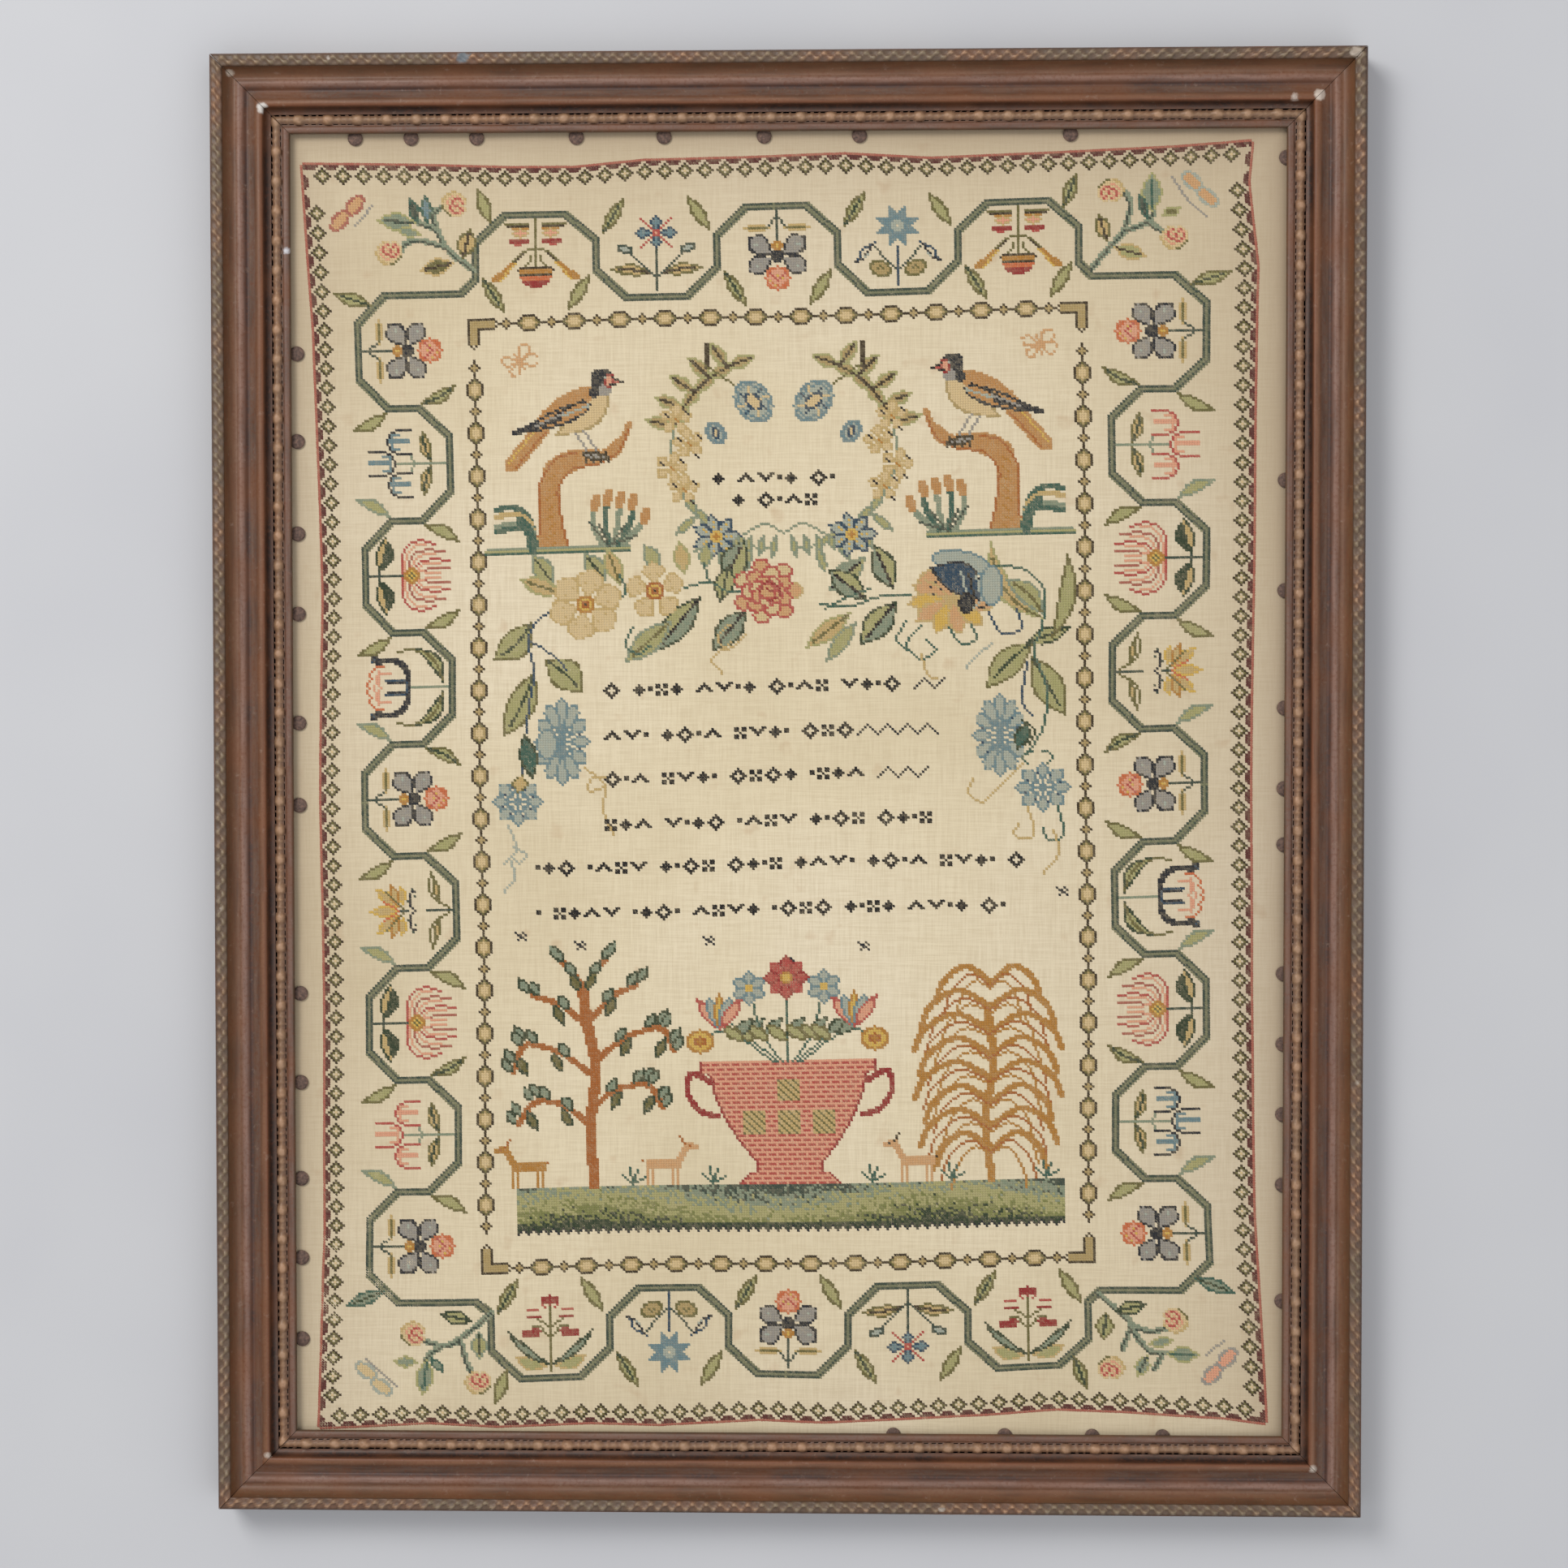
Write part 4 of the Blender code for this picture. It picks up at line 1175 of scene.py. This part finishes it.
for points, thread in (
        ([(-84, 79), (-95, 76), (-101, 66), (-99, 52), (-101, 38), (-103, 22), (-104, 8)], "indigo"),
        ([(-101, 66), (-92, 60), (-86, 53)], "indigo"), ([(-64, 92), (-62, 84), (-68, 80)], "spruce"),
        ([(-38, 86), (-28, 88), (-20, 84), (-12, 84)], "spruce"), ([(-28, 88), (-30, 96)], "spruce"),
        ([(16, 78), (28, 77), (42, 81), (58, 80)], "spruce"), ([(18, 76), (26, 80), (36, 84)], "spruce"),
        ([(86, 92), (98, 90), (105, 80), (104, 66), (101, 56), (106, 40), (104, 24), (98, 14)], "spruce"),
        ([(98, 52), (96, 36), (100, 30)], "indigo"), ([(-79, 12), (-71, 5), (-72, -6), (-68, -16)], "straw"),
        ([(-72, 4), (-78, 2), (-76, 8), (-70, 8)], "straw"),
                       ([(-110, -12), (-107, -22), (-112, -28)], "mist"),
        ([(-108, -21), (-103, -24), (-106, -28), (-110, -24), (-108, -34), (-112, -40)], "mist"),
        ([(-59, 70), (-62, 62), (-56, 59), (-52, 62)], "spruce"),
                       ([(-14, 66), (-22, 60), (-25, 66), (-20, 70)], "straw"),
        ([(-20, 63), (-28, 56), (-24, 50)], "straw"),
                       ([(56, 68), (50, 60), (56, 54), (62, 58), (58, 62)], "spruce"),
        ([(66, 68), (72, 60), (78, 62), (76, 68)], "spruce"), ([(50, 70), (46, 62), (50, 58)], "spruce"),
        ([(82, 74), (88, 64), (96, 66), (94, 74)], "indigo"), ([(56, 56), (58, 48), (62, 46)], "straw"),
        ([(84, 60), (78, 56), (74, 50)], "mist"), ([(96, 10), (86, 0), (80, -6), (74, -2), (76, 4)], "straw"),
        ([(98, -8), (100, -20), (92, -20), (94, -15)], "straw"),
                       ([(110, -8), (112, -20), (106, -22), (104, -17)], "spruce"),
        ([(108, -18), (110, -28), (104, -36)], "straw")):
    stroke(chart, points, thread)


def openFlower(x, y, reach, petals, edge, fill, heart):
    # broad rounded petals about a small ringed heart
    for k in range(petals):
        a = 2 * math.pi * (k + 0.3) / petals
        tip = (x + reach * math.cos(a), y + reach * math.sin(a))
        leaf(chart, (x + 1.5 * math.cos(a), y + 1.5 * math.sin(a)), tip, reach * 0.36, edge, fill,
             widest=0.66)
        for side in (-0.25, 0.25):
            put(chart, [x + reach * 0.6 * math.cos(a + side)], [y + reach * 0.6 * math.sin(a + side)], edge)
    blob(chart, x, y, 3.8, 3.8, heart, "honey")
    blob(chart, x, y, 1.8, 1.8, "rust", "umber")


openFlower(-78, 80, 15, 6, "straw", "cream", "gold")
openFlower(-50, 85, 12, 5, "straw", "cream", "rust")
for reach, shift in ((14.0, 0.0), (10.5, 0.5), (7.0, 0.2), (3.7, 0.7)):   # ruffled rose in nested rows
    for k in range(7):
        a = 2 * math.pi * (k + shift) / 7
        cx, cy = -5 + (reach - 3.4) * math.cos(a), 84 + (reach - 3.4) * math.sin(a)
        blob(chart, cx, cy, 3.7, 3.5, "rose" if cx < 2 or reach < 9 else "straw",
             "cream" if k % 2 else "sand")
for points in ([(-8, 84), (-5, 88), (-1, 86), (0, 82), (-4, 80)], [(-5, 85), (-3, 84)]):
    stroke(chart, points, "brick")
blob(chart, 62, 84, 8, 8, "straw", "sand")   # iris: dark hood, banded fall, yellow skirts
for k in range(9):
    a = math.radians(150 + 33 * k)
    leaf(chart, (68, 80), (68 + 17 * math.cos(a), 78 + 14 * math.sin(a)), 3.4, "straw",
         "honey" if k % 2 else "sand",
         widest=0.65)
blob(chart, 72, 94, 12, 5, "sky", "mist", turn=-12)
leaf(chart, (60, 92), (80, 78), 6.5, "slate", "indigo", bow=3, widest=0.5)
for k in range(4):
    stroke(chart, [(72 + 3 * k, 90 - k), (74 + 3 * k, 80 - k), (73 + 2 * k, 75)], "ink" if k % 2 else "mist")
blob(chart, 74, 77, 3.2, 4.6, "ink", "slate")
blob(chart, 84, 84, 4.6, 8.5, "sky", "mist")
put(chart, [60, 62, 64, 61], [84, 86, 83, 81], "slate")
for x, y, rx, ry, count in ((-88, 23, 11, 18, 12), (-106, -2, 10, 10, 8), (87, 22, 11, 17, 12),
                            (104, 0, 11, 10, 8)):
    for k in range(count):   # blue carnations: toothed petals fanned about a pale eye
        a = 2 * math.pi * k / count
        leaf(chart, (x, y), (x + rx * math.cos(a), y + ry * math.sin(a)), 2.6, "sky", "mist", widest=0.74)
        put(chart, [x + rx * 0.62 * math.cos(a + 0.26)], [y + ry * 0.62 * math.sin(a + 0.26)], "indigo")
        put(chart, [x + rx * 0.4 * math.cos(a)], [y + ry * 0.4 * math.sin(a)], "sky")
leaf(chart, (-100, 8), (-103, 26), 3.4, "pine", "spruce")
blob(chart, -94, 22, 4.5, 6.5, "sky", "mist")
leaf(chart, (-106, 2), (-104, 9), 3.0, "olive", "straw")
leaf(chart, (98, 27), (94, 16), 2.8, "pine", "spruce")
stroke(chart, [(96, 28), (101, 24), (99, 18)], "pine")
for s in (-1, 1):
    stroke(chart, [(102 + s * 4, 10), (102 + s * 6, 14), (102 + s * 2, 15)], "spruce")


def band(left, right, y, shift):
    # a line of small dark shapes in groups with gaps between them, none of them a letter or a sign
    kinds = (("...k...", "..kkk..", ".kk.kk.", "kk...kk", ".kk.kk.", "..kkk..", "...k..."),
             ("kk.kk", "kk.kk", "..k..", "kk.kk", "kk.kk"), ("..k..", ".kkk.", "kkkkk", ".kkk.", "..k.."),
             ("...k...", "..kkk..", ".kk.kk.", "kk...kk"), ("kk...kk", ".kk.kk.", "..kkk..", "...k..."),
             ("kk", "kk"))
    order = (0, 2, 5, 1, 2, 3, 4, 5, 2, 0, 5, 3, 1, 4, 2, 5, 0, 1)
    x, k = left, shift
    while x < right - 8:
        shape = kinds[order[k % len(order)]]
        rows(chart, x, y + len(shape) // 2, shape, {"k": "ink"})
        x += len(shape[0]) + (1 if (k + shift) % 4 else 5)
        k += 1
    return x


for left, right, y, zig, shift in ((-71, 54, 44, 4, 0), (-71, 36, 25, 9, 5), (-71, 44, 7, 6, 9),
                                   (-71, 72, -12, 0, 3),
                                   (-99, 100, -30, 0, 7), (-99, 98, -49, 0, 2)):
    x = band(left, right, y, shift)
    if zig:
        stroke(chart, [(x + 4 * k, y - 2 + 4 * (k % 2)) for k in range(zig)], "slate", bend=False)
for y, left, right, shift in ((131, -26, 32, 4), (122, -18, 26, 8)):
    band(left, right, y, shift)
for x, y in ((-108, -57), (-84, -61), (-32, -60), (0, -70), (30, -64), (109, -42)):   # tiny winged insects
    rows(chart, x, y, ("k..k.", ".kk.k", "..kk.", ".k..k"), {"k": "slate"})

# ground: olive band with blue-green clouds and a dark sawtooth under it
along = np.arange(-108, 112)
dice = np.random.default_rng(5)
for level in range(-180, -164):
    cloud = np.sin(along * 0.045 + 1.9) + 0.3 * np.sin(along * 0.21 + level) + 0.24 * (level + 172.5)
    cloud = cloud + dice.normal(0, 0.55, len(along))
    for low, high, thread in ((-9, -2.1, "pine"), (-2.1, -0.9, "grass"), (-0.9, 0.7, "lime"),
                              (0.7, 1.9, "sage"),
                              (1.9, 9, "teal")):
        part = (cloud > low) & (cloud <= high)
        put(chart, along[part], np.full(part.sum(), level), thread)
for k in range(len(along)):
    tooth = 1 + abs((k % 4) - 2)
    for level in range(tooth + 1):
        put(chart, along[k], -181 - level, "pine" if level < tooth else "slate")


def checkedUrn(x, foot):
    # urn of checks between a leafy tree and a plume plant, with flowers over it; by level its half-width
    # is 20 - level in the foot, 13 in the stem, then 13 + 20 * sin((level - 9) / 30) ** 0.8, and 3 more
    # for the rim past level 46
    levels = np.arange(0, 52)
    half = np.where(levels < 5, 20 - levels,
                    np.where(levels < 9, 13, 13 + 20 * np.sin((levels - 9) / 30) ** 0.8))
    half = np.where(levels > 46, half + 3, half)
    for level, wide in zip(levels, half):
        span = np.arange(-int(wide), int(wide) + 1)
        row = np.full(len(span), foot + level)
        put(chart, x + span, row, "blush")
        checks = ((span + 2 * (level // 2 % 2)) % 4 < 3) & (level % 2 == 0)
        put(chart, x + span[checks], row[checks], "rose")
        window = (np.abs(np.abs(span) - 14) < 5) & (level > 20) & (level < 31)
        window |= (np.abs(span) < 5) & ((level > 20) & (level < 31) | (level > 34) & (level < 44))
        put(chart, x + span[window], row[window], "straw")
        dots = window & ((span + level) % 3 == 0)
        put(chart, x + span[dots], row[dots], "olive")
        put(chart, [x + span[0], x + span[-1]], [foot + level] * 2, "brick")
    for side in (-1, 1):
        stroke(chart, [(x + side * 31, foot + 42), (x + side * 39, foot + 46), (x + side * 41, foot + 38),
                       (x + side * 36, foot + 30), (x + side * 29, foot + 28)], "brick", thick=2)


checkedUrn(1, -164)
for x, y in ((-26, -92), (-14, -80), (1, -76), (16, -80), (28, -92), (-34, -104), (36, -104)):
    stroke(chart, [(1 + (x - 1) * 0.15, -113), (1 + (x - 1) * 0.7, -100), (x, y)], "spruce")
    leaf(chart, (1 + (x - 1) * 0.6, -102), (1 + (x - 1) * 0.6 + 7, -95), 2.2, "pine", "sage")
    leaf(chart, (1 + (x - 1) * 0.5, -104), (1 + (x - 1) * 0.5 - 8, -98), 2.2, "olive", "lime")
for x, y, kind in ((-26, -92, 0), (28, -92, 0), (1, -78, 1), (-34, -104, 2), (36, -104, 2), (-14, -82, 3),
                   (16, -82, 3)):
    if kind == 0:
        for k in range(5):   # striped bells: bands of rose, mist, honey
            leaf(chart, (x, y - 7), (x + (k - 2) * 4.5, y + 8 - abs(k - 2)), 2.2,
                 ("rose", "sky", "gold", "sky",
                 "rose")[k], ("blush", "mist", "honey", "mist", "blush")[k])
    elif kind == 1:
        for k in range(8):
            a = math.radians(45 * k)
            leaf(chart, (x, y), (x + 9 * math.cos(a), y + 9 * math.sin(a)), 2.8, "brick", "rose", widest=0.65)
        blob(chart, x, y, 2.5, 2.5, "gold", "honey")
    elif kind == 2:
        blob(chart, x, y, 5.5, 5.0, "gold", "honey")
        blob(chart, x, y, 2.4, 2.2, "rust", "gold")
    else:
        for k in range(6):
            a = math.radians(60 * k + 30)
            leaf(chart, (x, y), (x + 7 * math.cos(a), y + 7 * math.sin(a)), 2.2, "sky", "mist", widest=0.65)
        blob(chart, x, y, 1.6, 1.6, "honey", "honey")

# left tree: brown branches with pointed leaves; right: a tall plume plant of drooping gold fronds
branches = [[(-78, -164), (-79, -140), (-77, -115), (-80, -95), (-82, -80)]]
for x0, y0, x1, y1 in ((-79, -140, -98, -128), (-79, -132, -58, -122), (-78, -118, -104, -104),
                       (-77, -112, -52, -98),
                       (-79, -98, -102, -84), (-80, -96, -60, -80), (-98, -128, -108, -138),
                       (-58, -122, -50, -132),
                       (-104, -104, -110, -116), (-52, -98, -45, -108), (-81, -84, -90, -70),
                       (-81, -84, -72, -69)):
    branches.append([(x0, y0), ((x0 + x1) / 2, (y0 + y1) / 2 + 3), (x1, y1)])
stroke(chart, branches[0], "rust", thick=4)
for points in branches[1:]:
    stroke(chart, points, "rust", thick=2)
    for t in (0.35, 0.6, 0.85, 1.05):
        x = points[0][0] + (points[2][0] - points[0][0]) * t
        y = points[0][1] + (points[2][1] - points[0][1]) * t + 3 * math.sin(3.1 * min(t, 1))
        side = 1 if round(t * 20) % 2 else -1
        leaf(chart, (x, y + side),
             (x + side * 4 * (1 if points[2][0] > points[0][0] else -1), y + side * 8 - 1), 1.9,
             "pine", "sage" if side > 0 else "olive")
stroke(chart, [(82, -164), (80, -140), (83, -115), (81, -92)], "gold", thick=3)
for y, reach in ((-78, 22), (-88, 28), (-98, 31), (-108, 29), (-118, 31), (-128, 27), (-138, 29), (-148, 24)):
    for side in (-1, 1):
        for drop in (0, 4, 8):
            wide = (reach - drop) * (0.9 if side > 0 else 1.0)
            stroke(chart, [(82, y - 4 - drop * 0.3), (82 + side * wide * 0.45, y + 3 - drop * 0.7),
                           (82 + side * wide * 0.85, y - 3 - drop), (82 + side * wide, y - 12 - drop)],
                   "gold" if drop != 4 else "rust", thick=2 if drop == 0 else 1)


def hind(x, y, s, thread, dark):
    # a small standing animal: body, four legs, neck, head and ears
    stroke(chart, [(x - 5 * s, y + 8), (x + 5 * s, y + 8)], thread, thick=4)
    for dx in (-6, -4, 4, 6):
        stroke(chart, [(x + dx * s, y + 6), (x + dx * s, y)], thread)
    stroke(chart, [(x + 6 * s, y + 9), (x + 9 * s, y + 15)], thread, thick=2)
    stroke(chart, [(x + 9 * s, y + 16), (x + 13 * s, y + 15)], thread, thick=2)
    stroke(chart, [(x + 9 * s, y + 17), (x + 7 * s, y + 20)], dark)
    put(chart, [x + 11 * s, x - 8 * s], [y + 16, y + 10], dark)


hind(-50, -164, 1, "sand", "rust")
hind(52, -164, -1, "sand", "umber")
hind(-104, -164, -1, "gold", "rust")
for x in (-62, -30, 34, 66, 104):
    for tip in (-4, -1, 2, 5):
        stroke(chart, [(x, -164), (x + tip, -156 - abs(tip))], "spruce")
print("chart made,", int((chart > 0).sum()), "stitches")


stitching = {
    "origin": (-0.00165, -0.0024), "wide": 0.00103, "tall": 0.000985, "leanX": -0.0103, "leanY": 0.0215,
    "thread": 0.00036, "reach": 0.60, "lift": 0.00014, "sink": 0.00003,
    # past this many cells from the middle the pull of the edges sets in, over so many cells, by this power
    "steadyX": 118, "fadeX": 69, "steadyY": 205, "fadeY": 59, "fadePower": 1.6,
    # how far the outer line is pulled from its rule, mm: (cell along the side, offset)
    "pullLeft": ((-264, -2.9), (-180, 1.6), (-90, 2.3), (0, 2.5), (86, 4.4), (196, 2.6), (264, -1.7)),
    "pullRight": ((-264, 2.9), (-180, -1.0), (-83, -2.1), (0, -1.3), (138, 0.8), (214, 3.0), (248, -0.7),
                  (264, 0.7)),
    "pullTop": ((-187, 1.5), (-148, -0.1), (-106, -2.3), (-80, -2.8), (-52, -0.7), (-12, -0.9), (28, -0.5),
                (61, -3.2), (94, -2.6), (127, -2.0), (160, -1.3), (187, 0.2)),
    "pullBottom": ((-187, -0.1), (-145, 1.8), (-118, -0.2), (-80, 0.4), (-52, -0.9), (-12, 0.9), (14, -0.4),
                   (41, 0.4), (80, 1.5), (107, 3.1), (133, 1.8), (172, -1.2), (187, -3.6)),
}


def pulled(name, along):
    # the named pull at places along the side, in metres, run straight between its knots
    knots = np.array(stitching[name])
    return np.interp(along, knots[:, 0], knots[:, 1]) / 1000


def onCloth(i, j):
    # chart cell to cloth metres: a skewed even grid, the outer part pulled with the edges, fine wavering
    x = stitching["origin"][0] + stitching["wide"] * i + stitching["leanX"] * stitching["tall"] * j
    y = stitching["origin"][1] + stitching["tall"] * j + stitching["leanY"] * stitching["wide"] * i
    steadyX, fadeX, power = stitching["steadyX"], stitching["fadeX"], stitching["fadePower"]
    steadyY, fadeY = stitching["steadyY"], stitching["fadeY"]
    left = np.clip((-i - steadyX) / fadeX, 0, 1) ** power
    right = np.clip((i - steadyX) / fadeX, 0, 1) ** power
    top = np.clip((j - steadyY) / fadeY, 0, 1) ** power
    bottom = np.clip((-j - steadyY) / fadeY, 0, 1) ** power
    x = x + pulled("pullLeft", j) * left + pulled("pullRight", j) * right
    y = y + pulled("pullTop", i) * top + pulled("pullBottom", i) * bottom
    x = x + 0.00040 * np.sin(j * 0.034 + 1.0) * np.cos(i * 0.021)
    y = y + 0.00045 * np.sin(i * 0.039 + 0.6) * np.cos(j * 0.017 + 0.4)
    return x, y


def legPoints(ax, ay, bx, by, rings, lift, wide):
    # one leg of a cross from hole a to hole b: a sunk start, rings of left, ridge and right, a sunk end
    dx, dy = bx - ax, by - ay
    long = np.hypot(dx, dy)
    nx, ny = -dy / long, dx / long
    parts = [(ax, ay, np.full_like(ax, -stitching["sink"]))]
    for t, rise in rings:
        cx, cy = ax + dx * t, ay + dy * t
        parts.append((cx + nx * wide, cy + ny * wide, lift * rise * 0.25))
        parts.append((cx, cy, lift * rise))
        parts.append((cx - nx * wide, cy - ny * wide, lift * rise * 0.25))
    parts.append((bx, by, np.full_like(bx, -stitching["sink"])))
    return [np.stack(p, -1) for p in parts]


lowerRings, upperRings = ((0.5, 1.0),), ((0.27, 0.9), (0.73, 0.9))
lowerFaces = [(0, 2, 1), (0, 3, 2), (1, 2, 4), (2, 3, 4)]
upperFaces = [(0, 2, 1), (0, 3, 2), (1, 2, 4), (2, 5, 4), (2, 3, 5), (3, 6, 5), (4, 5, 7), (5, 6, 7)]


def silkMaterial(name, colour):
    # Filament silk, dyed with plants and faded by light: soft sheen, each stitch a slightly other tone,
    # lighter where it has worn, with painted shade darkening it towards the hole it dives into.
    made, tree, shader = newMaterial("fadedSilk_" + name)
    shade = addNode(tree, "Attribute", attribute_name="shade")
    low = addNode(tree, "Attribute", attribute_name="depth")
    where = addNode(tree, "TexCoord")
    fade = addNode(tree, "TexNoise", {"Vector": where.outputs["Object"]}, Scale=38.0, Detail=2.0)
    both = addNode(tree, "Math", {0: shade.outputs["Fac"], 1: fade.outputs["Fac"]}, operation="ADD")
    amount = addNode(tree, "MapRange", {"Value": both.outputs[0]}, From_Min=0.75, From_Max=1.55, To_Max=0.16)
    tone = addNode(tree, "Mix", {0: amount.outputs[0], 6: colour, 7: "#CDBB96"}, data_type="RGBA").outputs[2]
    # painted shade: each leg darkens towards its sunk ends, where it dives into the linen
    holeShade = addNode(tree, "MapRange", {"Value": low.outputs["Fac"]}, To_Min=0.45, To_Max=0.0)
    tone = addNode(tree, "Mix", {0: holeShade.outputs[0], 6: tone, 7: "#4A3C2A"}, data_type="RGBA").outputs[2]
    tree.links.new(tone, shader.inputs["Base Color"])
    shader.inputs["Roughness"].default_value = 0.62
    shader.inputs["Specular IOR Level"].default_value = 0.3
    return made


rng = np.random.default_rng(11)
row, col = np.nonzero(chart)
kind = chart[row, col]
i0, j0 = col - chart.shape[1] // 2, row - chart.shape[0] // 2
count = 0
for name, number in silkNumber.items():
    pick = kind == number
    if not pick.any():
        continue
    i, j = i0[pick].astype(float), j0[pick].astype(float)
    n = len(i)
    jit = rng.normal(0, 0.035, (8, n))
    corners = [onCloth(i + a * (stitching["reach"] + jit[k]), j + b * (stitching["reach"] + jit[k + 4]))
               for k, (a, b) in enumerate(((-1, -1), (1, 1), (-1, 1), (1, -1)))]
    wide = stitching["thread"] * rng.uniform(0.88, 1.12, n)
    lower = legPoints(*corners[0], *corners[1], lowerRings, stitching["lift"] * np.ones(n), wide * 1.3)
    upper = legPoints(*corners[2], *corners[3], upperRings, stitching["lift"] * rng.uniform(1.7, 2.1, n),
                      wide)
    points = np.stack(lower + upper, 1)
    depth = np.tile([0, 1, 1, 1, 0, 0, 1, 1, 1, 1, 1, 1, 0], n)
    points[:, :, 2] += clothHeight(points[:, :, 0], points[:, :, 1]) + linen["thickness"] / 2
    pattern = np.array(lowerFaces + [tuple(v + 5 for v in f) for f in upperFaces])
    faces = (pattern[None] + (np.arange(n) * 13)[:, None, None]).reshape(-1, 3)
    points = points.reshape(-1, 3)
    spots = points[faces.ravel(), :2] / 0.6 + 0.5
    addMesh("silk_" + name, points, faces, silkMaterial(name, silk[name]),
                              uv={"OFBake": spots},
                              values={"shade": np.repeat(rng.uniform(0, 1, n), 13),
                                      "depth": depth.astype(float)})
    count += len(faces)
print("stitches made,", count, "triangles")
